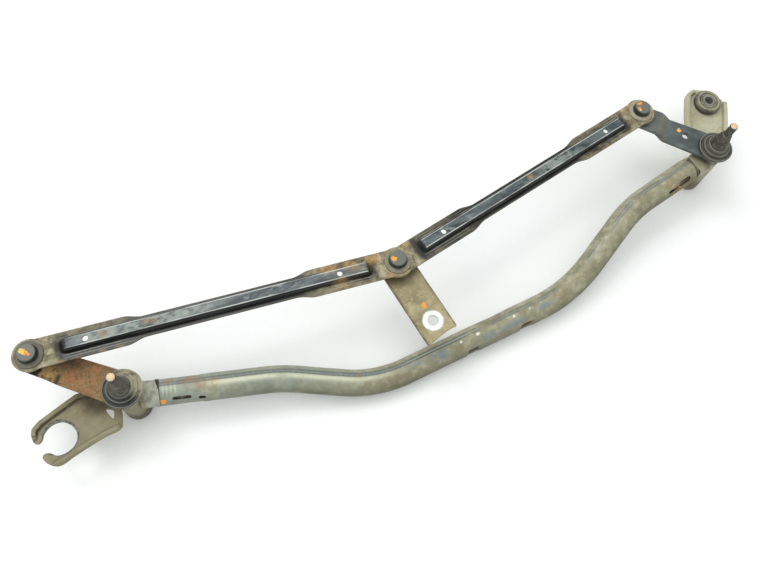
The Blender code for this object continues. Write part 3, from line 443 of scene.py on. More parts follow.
def placeGroup():
    # where a point is along, across and above a line that starts at Origin and heads Turn from +X, in mm
    tree, spot, given, result = newGroup(
        "local place", {"Origin": (0, 0, 0), "Turn": 0.0}, ["Along", "Across", "Above"])
    laid = swung(tree, vectors(tree, "SUBTRACT", spot, given["Origin"]), given["Turn"])
    parts = addNode(tree, "ShaderNodeSeparateXYZ", {0: vectors(tree, "SCALE", laid, 1 / mm)}).outputs
    feed(tree, result, {"Along": parts["X"], "Across": parts["Y"], "Above": parts["Z"]})
    return tree


blotchTree = blotchGroup()
edgeTree = edgeGroup()
dabTree = dabGroup()
grainTree = grainGroup()
placeTree = placeGroup()
print("shader groups made")


def useGroup(tree, group, values):
    return addNode(tree, "ShaderNodeGroup", values, node_tree=group).outputs


def blotches(tree, scale, low, high, shift, detail=4.0, stretch=(1, 1, 1), turn=0.0):
    # the shift gives every layer a part of the pattern of its own
    return useGroup(tree, blotchTree, {
        "Scale": scale, "Low": low, "High": high, "Detail": detail,
        "Shift": (shift, shift * 0.7, shift * 0.3), "Stretch": stretch, "Turn": math.radians(turn)})["Mask"]


def edges(tree, low, high, breakup, corner=0.46):
    made = useGroup(tree, edgeTree, {"Low": low, "High": high, "Breakup": breakup, "Corner": corner})
    return made["Worn"], made["Concave"]


def dab(tree, x, y, z, size, ragged):
    values = {"Centre": (x * mm, y * mm, z * mm), "Size": size * mm, "Ragged": ragged * mm}
    return useGroup(tree, dabTree, values)["Mask"]


def localPlace(tree, origin, turn):
    values = {"Origin": tuple(float(v) * mm for v in origin), "Turn": math.radians(-turn)}
    made = useGroup(tree, placeTree, values)
    return made["Along"], made["Across"], made["Above"]


# In the materials a mask is written as the numbers of its blotches, the name of a mark on the points,
# a strength from 0 to 1 or a socket, and a tone as three screen values, four linear values or a socket
def asMask(tree, part):
    if isinstance(part, tuple):
        return blotches(tree, *part)
    if isinstance(part, str):
        return addNode(tree, "ShaderNodeAttribute", attribute_name=part).outputs["Fac"]
    return part


def asTone(tone):
    return seen(*tone) if isinstance(tone, tuple) and len(tone) == 3 else tone


def chained(tree, operation, parts):
    result = asMask(tree, parts[0])
    for part in parts[1:]:
        result = maths(tree, operation, result, asMask(tree, part))
    return result


def times(tree, *parts):
    return chained(tree, "MULTIPLY", parts)


def either(tree, *parts):
    return chained(tree, "MAXIMUM", parts)


def over(tree, mask, base, top):
    # top colour laid over the base where the mask is 1
    values = {0: asMask(tree, mask), 6: asTone(base), 7: asTone(top)}
    return addNode(tree, "ShaderNodeMix", values, data_type="RGBA").outputs[2]


def layered(tree, colour, *layers):
    # each layer lays its tone over the colour so far, as far as the product of its masks goes
    for tone, *parts in layers:
        colour = over(tree, times(tree, *parts), colour, tone)
    return colour


def between(tree, mask, low, high):
    # low where the mask is 0, high where it is 1
    values = {0: asMask(tree, mask), 2: low, 3: high}
    return addNode(tree, "ShaderNodeMix", values, data_type="FLOAT").outputs[0]


def band(tree, value, middle, half, soft):
    # 1 within half of the middle, 0 beyond, over a soft edge
    away = maths(tree, "ABSOLUTE", maths(tree, "SUBTRACT", value, middle))
    return ranged(tree, maths(tree, "SUBTRACT", half, away), -soft / 2, soft / 2)


def newMaterial(name):
    material = bpy.data.materials.new(name)
    material.use_nodes = True
    return material, material.node_tree, material.node_tree.nodes["Principled BSDF"]


def finishSurface(tree, shader, colour, roughness, metallic, grain=None, gloss=0.5):
    # the grain is written as its scale, its pits and its depth in millimetres
    feed(tree, shader, {"Specular IOR Level": gloss, "Base Color": colour,
                        "Roughness": roughness, "Metallic": metallic})
    if grain:
        scale, pits, depth = grain
        height = useGroup(tree, grainTree, {"Scale": scale, "Pits": pits})["Height"]
        relief = addNode(tree, "ShaderNodeBump", {"Height": height, "Distance": depth * mm, "Strength": 1.0})
        feed(tree, shader, {"Normal": relief.outputs["Normal"]})


dabOrange = (240, 152, 56)
dabYellow = (240, 196, 70)


def tubeMaterial():
    material, tree, shader = newMaterial("dusty zinc tube")
    long = (0.5, 1, 1)
    zinc = over(tree, (44, 0.34, 0.66, 0.9, 3), (118, 132, 124), (152, 162, 148))
    # painted shade under the tube and on its lower -y side, less of it towards the left end
    grime = times(tree, "grime", between(tree, (60, 0.3, 0.7, 3.1, 4, long), 0.55, 0.95))
    fromSeam = times(tree, maths(tree, "SUBTRACT", asMask(tree, "seamPlace"), 0.5), tube["seamReach"])
    broken = times(tree, "seam", either(tree, "solid", (70, 0.42, 0.54, 3.6, 4, long)))
    weld = times(tree, band(tree, fromSeam, 0.0, 2.4, 1.0), broken)
    stripes = [(tone, band(tree, fromSeam, middle, 0.4, 0.5), weld, "striped", 0.8)
               for middle, tone in ((-2.0, (60, 64, 58)), (1.9, (70, 74, 68)), (-0.3, (190, 198, 188)))]
    inside = asMask(tree, "inside")
    colour = layered(
        tree, over(tree, (26, 0.3, 0.7, 0.1, 3), (150, 148, 121), (128, 126, 99)),
        ((184, 182, 156), (130, 0.42, 0.74, 0.4), 0.7),
        ((118, 104, 72), (60, 0.5, 0.74, 0.6, 4, long), 0.7),
        (zinc, "clean", (30, 0.2, 0.6, 1.7, 4, long)),
        ((120, 134, 136), "blue", (150, 0.34, 0.54, 2.4), 0.9),
        # a pale band just under the seam: painted highlight
        ((204, 206, 180), "pale", (40, 0.2, 0.5, 2.8, 4, long)),
        ((92, 92, 70), grime),
        ((96, 106, 103), weld, 0.85),
        ((168, 178, 170), (620, 0.5, 0.62, 6.3), weld, 0.28),
        *stripes,
        ((150, 118, 74), either(tree, (75, 0.66, 0.76, 4.4), "rusty"), (240, 0.3, 0.6, 5.0), 0.7),
        ((88, 84, 62), (800, 0.58, 0.72, 5.6), 0.45),
        ((206, 210, 186), "rings", 0.45),
        # painted glints on the top of the tube
        ((240, 242, 236), "bare"),
        # painted shade inside the tube and on the slot walls
        ((60, 44, 30), inside),
        (dabOrange, dab(tree, *tubeDab, 3.0, 4.0)))
    dull = either(tree, inside, grime)
    finishSurface(tree, shader, colour, between(tree, dull, 0.46, 0.75), between(tree, dull, 0.16, 0.0),
                  (600, 0.2, 0.035))
    return material


def castMaterial(name, plain, pale, neckTone):
    material, tree, shader = newMaterial(name)
    neck = asMask(tree, "neck")
    neckShade = tuple(0.62 * c for c in seen(*neckTone))
    worn, concave = edges(tree, 0.515, 0.56, 160.0, 0.487)
    colour = layered(
        tree, over(tree, (36, 0.3, 0.7, 0.3, 3), plain, pale),
        ((104, 94, 66), (150, 0.5, 0.8, 0.8), 0.5),
        (over(tree, (200, 0.4, 0.64, 1.3), neckTone, neckShade), neck),
        # on the left fork the brown is painted shade where the lever's shadow falls
        ((104, 88, 62), (90, 0.3, 0.6, 1.9), "brown"),
        # painted shade under the levers and caps, low on the barrels and on the spigots inside the tube
        ((56, 50, 38), "grime", between(tree, (90, 0.3, 0.6, 3.9), 0.6, 1.0)),
        # painted shade at the inner foot of the fork's rims and along its upper edge
        ((74, 62, 42), "groove", (120, 0.25, 0.5, 4.4)),
        ((116, 118, 110), "slotEdge", 0.85),
        ((48, 46, 40), "slotEdge", (300, 0.5, 0.6, 2.2), 0.9),
        # darker in the concave corners
        ((66, 56, 40), concave, 0.75),
        ((200, 196, 174), worn, 0.3),
        ((74, 64, 46), (700, 0.6, 0.72, 2.6), 0.5))
    finishSurface(tree, shader, colour, 0.6, between(tree, neck, 0.0, 0.2), (900, 0.4, 0.06), 0.35)
    return material


def rustyMaterial():
    material, tree, shader = newMaterial("rusted lever")
    # black grease near the joint end, with the rod's shadow painted there too
    greaseAndShadowMask = times(tree, "greasy", (60, 0.2, 0.42, 4.1))
    colour = layered(
        tree, over(tree, (60, 0.34, 0.66, 0.2, 6), (142, 116, 82), (108, 88, 62)),
        ((162, 108, 64), (130, 0.46, 0.62, 1.1, 6), 0.6),
        ((78, 60, 42), (560, 0.53, 0.64, 1.6), 0.6),
        ((196, 160, 118), (700, 0.58, 0.7, 2.1), 0.5),
        ((160, 130, 82), "joggle", (120, 0.36, 0.56, 3.3, 6)),
        ((70, 54, 38), "joggle", (200, 0.5, 0.62, 3.9), 0.8),
        ((34, 29, 24), greaseAndShadowMask),
        ((84, 66, 48), edges(tree, 0.52, 0.58, 120.0)[0], 0.5))
    finishSurface(tree, shader, colour, between(tree, greaseAndShadowMask, 0.85, 0.6), 0.0, (480, 0.9, 0.22), 0.3)
    return material


def blackLeverMaterial():
    material, tree, shader = newMaterial("satin black lever")
    dust = times(tree, either(tree, "joggle", "dusty"), (110, 0.34, 0.62, 2.0))
    colour = layered(
        tree, over(tree, (40, 0.3, 0.7, 0.5, 3), (60, 69, 68), (92, 103, 100)),
        ((130, 136, 130), (200, 0.52, 0.76, 1.2, 4, (1, 0.4, 1), -43), 0.4),
        ((128, 120, 96), dust, 0.55),
        ((44, 46, 44), edges(tree, 0.52, 0.58, 150.0)[0], 0.5),
        ((240, 176, 92), dab(tree, *leverDab, 2.3, 4.6)))
    finishSurface(tree, shader, colour, between(tree, dust, 0.36, 0.75), 0.0, (500, 0.2, 0.04), 0.4)
    return material


def rodMaterial(name, start, turn, underside, wornFrom, wornTo, darkUntil):
    # gloss black paint, pale along the rib's edges in painted highlights and wear, and a painted sheen on
    # the rib's top; painted shade round the rib's ends; dust on wings and eyes, rust at the cut edges
    material, tree, shader = newMaterial(name)
    along, across, above = localPlace(tree, (*start, underside), turn)

    def streaks(scale, low, high, shift, stretch=0.3):
        # blotches drawn out along the rod
        return (scale, low, high, shift, 4, (stretch, 1, 1), turn)

    side = maths(tree, "ABSOLUTE", across)
    crestHeight = rod["sheet"] + rod["ribHeight"]
    low = inverse(tree, ranged(tree, above, rod["sheet"] + 0.8, rod["sheet"] + 2.2))
    high = times(tree, ranged(tree, above, crestHeight - 1.6, crestHeight - 0.5),
                 ranged(tree, along, darkUntil - 7.0, darkUntil + 5.0))
    # the rib's top, which gets a painted sheen of lighter steel-blue
    onTop = times(tree, high, inverse(tree, ranged(tree, side, rod["ribTop"] - 0.2, rod["ribTop"] + 0.6)))
    wornPart = band(tree, along, (wornFrom + wornTo) / 2, (wornTo - wornFrom) / 2, 24.0)
    dust = either(tree, times(tree, "wing", streaks(60, 0.3, 0.6, 1.4)),
                  times(tree, "eye", (90, 0.2, 0.5, 2.3)), times(tree, streaks(38, 0.5, 0.8, 2.9), 0.1))
    rust = times(tree, "rusty", streaks(110, 0.3, 0.56, 5.8, 0.6))
    rim = times(tree, "rim", (60, 0.5, 0.62, 5.1), 0.6)
    # pale lines along the rib's top edges: painted highlights, partly wear
    crest = times(tree, band(tree, side, rod["ribTop"] + 0.5, 0.42, 0.4), high,
                  between(tree, streaks(70, 0.36, 0.6, 8.1), 0.35, 1.0))
    ridge = either(tree, band(tree, side, 7.9, 0.35, 0.5),
                   times(tree, band(tree, side, 10.4, 0.35, 0.5), 0.6))
    colour = layered(
        tree, over(tree, streaks(60, 0.4, 0.7, 0.6), (9, 10, 10), (34, 37, 36)),
        # painted sheen on the rib's top
        (over(tree, streaks(70, 0.36, 0.6, 0.8), (44, 54, 58), (92, 102, 102)), onTop),
        ((150, 158, 150), onTop, streaks(260, 0.54, 0.66, 9.2), 0.6),
        ((142, 150, 140), onTop, wornPart, streaks(170, 0.36, 0.58, 1.1, 0.6), 0.8),
        (over(tree, (140, 0.4, 0.6, 3.5), (174, 166, 136), (126, 118, 92)), dust),
        ((56, 54, 44), (420, 0.5, 0.66, 4.2), low, either(tree, "wing", "eye"), 0.5),
        # painted shade on the flat sheet round the rib's ends
        ((26, 28, 26), "halo", low, (100, 0.3, 0.56, 9.9), 0.9),
        (over(tree, (200, 0.36, 0.64, 7.0), (204, 170, 112), (166, 122, 72)), either(tree, rust, rim), 0.7),
        # painted highlights, partly wear, along the rib's top edges
        ((206, 212, 204), crest, 0.85),
        ((176, 180, 166), ridge, low, "wings", streaks(60, 0.4, 0.6, 10.7), 0.6),
        ((128, 124, 100), "lip", low, streaks(80, 0.3, 0.6, 8.8), 0.4))
    dull = either(tree, times(tree, dust, low), rust)
    finishSurface(tree, shader, colour, between(tree, dull, 0.24, 0.8), 0.0, (520, 0.25, 0.04), 0.3)
    return material


def crankMaterial():
    material, tree, shader = newMaterial("olive crank plate")
    ring = dab(tree, *crankHole, crankTop, crank["ring"], 1.4)
    x, y, z = crankDab
    colour = layered(
        tree, over(tree, (50, 0.3, 0.7, 0.4, 3), (170, 160, 122), (134, 124, 92)),
        ((190, 180, 140), (190, 0.5, 0.68, 1.0), 0.55),
        ((134, 134, 122), (90, 0.56, 0.72, 2.0), 0.5),
        ((74, 62, 42), "shadowed", between(tree, (70, 0.2, 0.5, 2.6), 0.5, 1.0), 0.7),
        ((84, 74, 50), "rim", between(tree, (120, 0.3, 0.6, 5.0), 0.35, 1.0), 0.8),
        ((84, 70, 46), (420, 0.6, 0.7, 3.4), 0.7),
        (over(tree, (260, 0.45, 0.65, 6.0), (232, 238, 235), (206, 212, 208)), ring),
        (dabOrange, dab(tree, x, y, z, 2.4, 5.0)),
        (dabOrange, dab(tree, x + 0.8, y + 2.4, z, 1.6, 4.0)))
    finishSurface(tree, shader, colour, between(tree, ring, 0.6, 0.34), between(tree, ring, 0.0, 0.3),
                  (640, 0.3, 0.05), 0.35)
    return material


def capMaterial(name, centre, top, flangeDust, dabs):
    material, tree, shader = newMaterial(name)
    onTop = asMask(tree, "top")
    dust = times(tree, "flange", between(tree, (130, 0.3, 0.6, 1.5), 0.6, 1.0), flangeDust)
    paint = [(tone, dab(tree, centre[0] + x, centre[1] + y, top, size, 3.4), onTop,
              (700, 0.34, 0.5, x + 3.0))
             for x, y, size, tone in dabs]
    colour = layered(
        tree, over(tree, (120, 0.4, 0.7, 0.7), (36, 38, 35), (56, 58, 53)),
        ((104, 107, 98), onTop),
        ((176, 170, 144), dust),
        *paint)
    finishSurface(tree, shader, colour, between(tree, dust, 0.45, 0.75), 0.0, (800, 0.15, 0.04), 0.35)
    return material


def rubberMaterial(name, plain, dustTone, dustAmount):
    material, tree, shader = newMaterial(name)
    dust = times(tree, "dusty", (160, 0.26, 0.56, 1.6), dustAmount)
    colour = layered(
        tree, over(tree, (90, 0.36, 0.7, 0.9), plain, (54, 55, 50)),
        (dustTone, dust),
        ((150, 152, 140), "shine", 0.5))
    finishSurface(tree, shader, colour, between(tree, dust, 0.38, 0.85), 0.0, (750, 0.3, 0.06), 0.35)
    return material


def spindleMaterial():
    material, tree, shader = newMaterial("blackened spindle steel")
    dusty = asMask(tree, (260, 0.5, 0.7, 1.8))
    painted = times(tree, "painted", (300, 0.28, 0.42, 2.4))
    colour = layered(
        tree, over(tree, (140, 0.4, 0.7, 1.1), (66, 66, 60), (96, 92, 80)),
        ((128, 116, 90), dusty, 0.5),
        ((166, 164, 150), edges(tree, 0.52, 0.6, 260.0)[0], 0.7),
        ((196, 194, 180), "tipRim", 0.85),
        ((252, 186, 118), painted))
    bright = between(tree, either(tree, painted, dusty), 0.6, 0.0)
    finishSurface(tree, shader, colour, 0.42, bright, (900, 0.3, 0.04))
    return material


def plainMetal(name, dark, light, metallic, roughness):
    # turned or plated metal with faint blotches and a little grime
    material, tree, shader = newMaterial(name)
    grime = times(tree, (220, 0.56, 0.7, 2.1), 0.5)
    colour = layered(tree, over(tree, (160, 0.36, 0.64, 1.2), dark, light), ((70, 62, 48), grime))
    dull = between(tree, grime, roughness, roughness + 0.25)
    finishSurface(tree, shader, colour, dull, metallic, (800, 0.2, 0.04))
    return material


# The bent tube: corners of its centre line, bend radii, ends, slots, dents and stains.
# Places run along it from the left end in millimetres, and bearings round it in degrees, 90 at the top
tube = {
    "radius": 12.5,
    "wall": 1.5,
    "leftHeight": 39.5,
    "rightHeight": 48.0,
    "endPlace": 26.0,
    "corners": ((128.0, -35.0, 27.6), (208.0, -73.5, 12.0), (425.0, -67.0, 15.5), (518.0, -18.1, 41.0)),
    "bends": (150.0, 120.0, 150.0, 110.0),
    "leftSwage": 39.0,
    "rightSwage": 42.0,
    "seamBearing": 113.0,
    "seamReach": 24.0,
    "slots": ((18.7, 40.0, 16.5, 3.6), (36.0, 29.0, 6.5, 3.4), (582.0, 36.0, 15.5, 6.2),
              (566.5, 28.0, 13.0, 3.6)),
    "notches": ((295.0, 4.0, 2.4, 6.5, 6.0), (355.0, 4.0, 2.6, 6.5, 6.5)),
    "dents": ((326.0, 140.0, 1.8, 11.0, 30.0), (418.5, 66.0, 0.6, 2.5, 8.0), (556.0, 110.0, 0.9, 2.6, 40.0),
              (40.0, 120.0, 0.4, 2.5, 60.0)),
    # painted glints: white spots on the top line of the tube, as (place, bearing, size)
    "glintSpots": ((285.5, 90.0, 1.3), (304.0, 90.0, 1.5), (344.5, 92.0, 1.3), (363.5, 94.0, 0.9)),
    "bluePatches": ((261.0, 80.0, 9.0, 3.5), (314.5, 60.0, 8.0, 3.4), (340.0, 62.0, 15.0, 3.2),
                    (378.5, 76.0, 8.0, 3.0), (262.0, 66.0, 9.0, 3.4), (238.0, 84.0, 11.0, 2.4),
                    (300.0, 28.0, 12.0, 3.0), (560.0, 108.0, 7.0, 1.6)),
    "rings": (3.2, 6.4, 10.0, 13.6),
    "rustSpots": ((8.0, 140.0, 6.0), (26.0, 132.0, 9.0), (36.0, 92.0, 6.0), (47.0, 94.0, 5.0),
                  (297.0, 14.0, 3.0), (360.0, 18.0, 2.6), (284.0, 70.0, 2.6), (281.0, 66.0, 2.0),
                  (562.0, 70.0, 4.0), (578.0, 30.0, 9.0)),
}


def bentLine(corners, radii):
    # straight runs and arcs M + r (sin((1-t)w) A + sin(tw) B) / sin w, with the length so far at each point
    line = [corners[0][None]]
    for before, corner, after, radius in zip(corners, corners[1:], corners[2:], radii):
        inward = unit(before - corner)
        outward = unit(after - corner)
        halfTurn = (math.pi - math.acos(float(inward @ outward))) / 2
        reach = radius * math.tan(halfTurn)
        middle = corner + unit(inward + outward) * radius / math.cos(halfTurn)
        start = unit(corner + inward * reach - middle)
        end = unit(corner + outward * reach - middle)
        swing = math.acos(float(start @ end))
        t = np.linspace(0.0, 1.0, 60)[:, None]
        arc = np.sin((1 - t) * swing) * start + np.sin(t * swing) * end
        line.append(middle + radius * arc / math.sin(swing))
    line.append(corners[-1][None])
    line = np.concatenate(line)
    return line, np.concatenate([[0.0], np.cumsum(np.linalg.norm(np.diff(line, axis=0), axis=1))])


def tubeCorners():
    left = np.array([*leftSpindle, tube["leftHeight"]])
    right = np.array([*rightSpindle, tube["rightHeight"]])
    inner = [np.array(c) for c in tube["corners"]]
    first = left + unit(inner[0] - left) * tube["endPlace"]
    last = right + unit(inner[-1] - right) * tube["endPlace"]
    return [first, *inner, last]


tubeLine, tubePlaces = bentLine(tubeCorners(), tube["bends"])
tubeLength = tubePlaces[-1]


def tubeFrame(places):
    # centre, side and up vectors of the tube at places along it: side = t x z, up = side x t
    centre, ahead, behind = [np.stack([np.interp(at, tubePlaces, tubeLine[:, k]) for k in range(3)], 1)
                             for at in (places, places + 1.5, places - 1.5)]
    tangent = unit(ahead - behind)
    side = unit(np.cross(tangent, [0.0, 0.0, 1.0]))
    return centre, side, np.cross(side, tangent)


def roundBox(a, b, halfA, halfB, corner):
    # signed distance to a rounded rectangle: |max(|p| - h + c, 0)| - c
    da = np.maximum(np.abs(a) - halfA + corner, 0.0)
    db = np.maximum(np.abs(b) - halfB + corner, 0.0)
    return np.hypot(da, db) - corner


def arcTo(bearing, angle):
    # signed distance round the tube from an angle, in millimetres
    return ((bearing - angle + 180.0) % 360.0 - 180.0) * math.pi / 180.0 * tube["radius"]


def tubeRadius(place, bearing):
    # nominal radius less the swaged ends, with the right one squared, slight waves, the hollows round
    # the slots, the notches and the dents
    fromEnd = place - tubeLength
    leftZone = falling(place, tube["leftSwage"], 4.0)
    rightZone = rising(fromEnd, -tube["rightSwage"], 5.0)
    lip = falling(place, 1.0, 1.0) + rising(fromEnd, -1.0, 1.0)
    radius = tube["radius"] - 0.6 * leftZone - 0.5 * rightZone - 0.4 * lip
    radius += 0.6 * rightZone * np.cos(np.radians(4 * (bearing - 80.0))) * (1 - 0.7 * lip)
    radius -= (0.12 * np.sin(place / 31.0 + 2.0) * np.sin(np.radians(2 * bearing))
               + 0.1 * np.sin(place / 7.0) * np.sin(np.radians(bearing)))
    for at, angle, length, width in tube["slots"]:
        fromSlot = roundBox(place - at, arcTo(bearing, angle), length / 2, width / 2, width / 2)
        radius -= 0.35 * bell(np.maximum(fromSlot, 0.0), 2.5)
    for at, angle, depth, halfLength, halfWidth in tube["notches"]:
        fromNotch = roundBox(place - at, arcTo(bearing, angle), halfLength, halfWidth, 3.0)
        radius -= depth * smoothStep(0.5 - fromNotch / 3.0)
    for at, angle, depth, halfLength, halfAngle in tube["dents"]:
        halfWidth = math.radians(halfAngle) * tube["radius"]
        radius -= depth * bell(place - at, halfLength) * bell(arcTo(bearing, angle), halfWidth)
    return radius


def slotCutter(at, angle, length, width):
    # a bar with a stadium section, pointing straight out of the tube
    half = (length - width) / 2
    turn = np.linspace(-np.pi / 2, np.pi / 2, 12)
    x = np.concatenate([half + width / 2 * np.cos(turn), -half - width / 2 * np.cos(turn)])
    y = np.concatenate([width / 2 * np.sin(turn), -width / 2 * np.sin(turn)])
    centre, side, up = [row[0] for row in tubeFrame(np.array([at]))]
    tangent = np.cross(up, side)
    bearing = math.radians(angle)
    outward = math.cos(bearing) * side + math.sin(bearing) * up
    sideways = np.cross(outward, tangent)
    reach = np.array([0.6, 0.6, 1.25, 1.25])[:, None, None] * tube["radius"]
    spread = np.array([0.0, 1.0, 1.0, 0.0])[:, None, None]
    section = x[None, :, None] * tangent + y[None, :, None] * sideways
    return newPiece("slot_cutter", [grid(centre + spread * section + reach * outward)])


def makeTube():
    # P(s, t) = C(s) + r(s, t) (side cos t + up sin t), outside, then back along the inside of the wall
    fineEnd = 46.0
    ends = np.arange(0.0, fineEnd, 0.5)
    middle = np.arange(fineEnd, tubeLength - fineEnd, 1.8)
    outside = np.concatenate([ends, middle, tubeLength - ends[::-1]])
    bearings = np.linspace(0.0, 360.0, 112, endpoint=False)
    rows = []
    for places, wall in ((outside, 0.0), (np.linspace(tubeLength, 0.0, 90), tube["wall"])):
        centre, side, up = tubeFrame(places)
        place, bearing = np.meshgrid(places, bearings, indexing="ij")
        radius = (tubeRadius(place, bearing) - wall)[..., None]
        turn = np.radians(bearing)[..., None]
        rows.append(centre[:, None] + radius * (np.cos(turn) * side[:, None] + np.sin(turn) * up[:, None]))
    piece = newPiece("tube_skin", [grid(np.concatenate([*rows, rows[0][:1]]))], 50.0)
    cut(piece, [slotCutter(*slot) for slot in tube["slots"]])
    return piece


def tubeCoordinates(points):
    # place along the tube, bearing round it and distance from its centre line
    places = np.arange(0.0, tubeLength, 1.0)
    centre, side, up = tubeFrame(places)
    nearest = np.empty(len(points), int)
    blockSize = 8000
    for start in range(0, len(points), blockSize):
        block = points[start:start + blockSize]
        nearest[start:start + blockSize] = np.argmin(np.sum((block[:, None] - centre[None]) ** 2, -1), 1)
    out = points - centre[nearest]
    ahead = np.cross(up, side)[nearest]
    forward = np.sum(out * ahead, 1)
    bearing = np.degrees(np.arctan2(np.sum(out * up[nearest], 1), np.sum(out * side[nearest], 1))) % 360.0
    return places[nearest] + forward, bearing, np.linalg.norm(out - forward[:, None] * ahead, axis=1)


def spotsOn(place, bearing, spots):
    # the strongest bell of spots (place, bearing, length and, unless it is round, width)
    return np.max([bell(np.hypot((place - at) / sizes[0], arcTo(bearing, angle) / sizes[-1]), 1.0)
                   for at, angle, *sizes in spots], axis=0)


def markTube(piece):
    place, bearing, away = tubeCoordinates(pointsOf(piece))
    onSide = (bearing + 90.0) % 360.0 - 90.0
    mark(piece, "seamPlace", 0.5 + arcTo(bearing, tube["seamBearing"]) / tube["seamReach"])
    mark(piece, "seam", 0.75 + 0.25 * falling(place, 300.0, 50.0))
    mark(piece, "solid", falling(place, 300.0, 40.0))
    mark(piece, "striped", 0.3 + 0.7 * rising(place, 215.0, 40.0) * falling(place, 330.0, 30.0))
    mark(piece, "clean", falling(place, 210.0, 120.0) * 0.9)
    # painted highlight: a pale band just under the seam, away from the ends
    mark(piece, "pale", 0.85 * bell(arcTo(bearing, 92.0), 2.6) * rising(place, 30.0, 20.0)
         * falling(place, 250.0, 90.0))
    # painted shade under the tube and on its lower -y side, less of it towards the left end
    mark(piece, "grime", falling(onSide, 66.0, 64.0) * (0.45 + 0.65 * rising(place, 40.0, 60.0)))
    # pale rings near the left end, along the top of the tube
    paleRings = np.max([bell(place - at, 0.8) for at in tube["rings"]], axis=0)
    mark(piece, "rings", paleRings * bell(arcTo(bearing, 84.0), 5.0))
    # painted glints on the top of the tube
    mark(piece, "bare", rising(spotsOn(place, bearing, tube["glintSpots"]), 0.25, 0.4))
    mark(piece, "blue", 1.2 * spotsOn(place, bearing, tube["bluePatches"]))
    mark(piece, "rusty", 1.2 * spotsOn(place, bearing, tube["rustSpots"]))
    # painted shade on the inside of the wall
    mark(piece, "inside", smoothStep((tube["radius"] - 1.9 - away) / 0.5 + 0.3))


dabCentre, dabSide, dabUp = tubeFrame(np.array([2.5]))
dabTurn = math.radians(30.0)
tubeDab = (dabCentre + tube["radius"] * (math.cos(dabTurn) * dabSide + math.sin(dabTurn) * dabUp))[0]
tubePiece = makeTube()
markTube(tubePiece)
install(tubePiece, "frame", tubeMaterial(), "frame_tube")
print("tube made:", len(tubePiece.data.polygons), "faces")


# What both housings share: barrel, neck, collar at the tube's end and spigot inside the tube
housing = {
    "barrelRadius": 12.0,
    "boreRadius": 8.3,
    "mouthRadius": 9.5,
    "mouthDepth": 5.3,
    "height": 61.0,
    "neckStart": 9.6,
    "neckHalfWidth": 10.5,
    "neckHalfHeight": 11.0,
    "collarRadius": 12.1,
    "collarLength": 5.0,
    "spigotRadius": 10.1,
    "spigotStart": 18.0,
    "spigotReach": 30.0,
    "lattice": 0.55,
}


def barrelBlock(centre):
    outer, bore, mouth = housing["barrelRadius"], housing["boreRadius"], housing["mouthRadius"]
    top, depth = housing["height"], housing["mouthDepth"]
    profile = roundedCorners([(outer, top, 1.0), (outer + 0.5, 0.0, 1.4), (mouth, 0.0, 0.4),
                              (mouth, depth, 0.2), (bore, depth, 0.2), (bore, top, 0.4)])
    return turned(profile, centre, closed=True)


def neckBlock(root, way, side, up, flare):
    # sections |y / a|^n + |z / b|^n = 1, with a, b and n changing from the barrel to the tube's end
    start, end = housing["neckStart"], tube["endPlace"] - 0.3
    collar = end - housing["collarLength"]
    x = np.concatenate([[start], np.linspace(start, collar, 12), np.linspace(collar, end, 12)[1:], [end]])
    rise = smoothStep((x - end + housing["collarLength"]) / (housing["collarLength"] * 0.8))
    wide, tall = housing["neckHalfWidth"], housing["neckHalfHeight"]
    a = wide + (housing["collarRadius"] - wide) * rise + flare * (1 - rising(x, start, 12.0))
    b = tall + (housing["collarRadius"] - tall) * rise
    power = 2.0 / (5.0 - 2.6 * rise)[:, None]
    turn = np.linspace(0.0, 2 * np.pi, 72, endpoint=False)[None, :]
    across = a[:, None] * np.sign(np.cos(turn)) * np.abs(np.cos(turn)) ** power
    above = b[:, None] * np.sign(np.sin(turn)) * np.abs(np.sin(turn)) ** power
    across[[0, -1]] = 0.0
    above[[0, -1]] = 0.0
    return grid(root + x[:, None, None] * way + across[..., None] * side + above[..., None] * up)


def spigotBlock(root, way, side, up):
    # round bar P(k, a) = C_k + r_k (side cos a + up sin a), closed at both ends
    start = root + way * housing["spigotStart"]
    end = root + way * (tube["endPlace"] + housing["spigotReach"])
    place = np.array([0.0, 0.0, 1.0, 1.0])[:, None, None]
    size = np.array([0.0, 1.0, 1.0, 0.0])[:, None, None] * housing["spigotRadius"]
    turn = np.linspace(0.0, 2 * np.pi, 48, endpoint=False)[None, :, None]
    return grid(start + place * (end - start) + size * (np.cos(turn) * side + np.sin(turn) * up))


def housingBlocks(centre, height, corner, flare):
    root = np.array([*centre, height])
    way = unit(np.array(corner) - root)
    side = unit(np.cross(way, [0.0, 0.0, 1.0]))
    up = np.cross(side, way)
    return [barrelBlock(centre), neckBlock(root, way, side, up, flare), spigotBlock(root, way, side, up)]


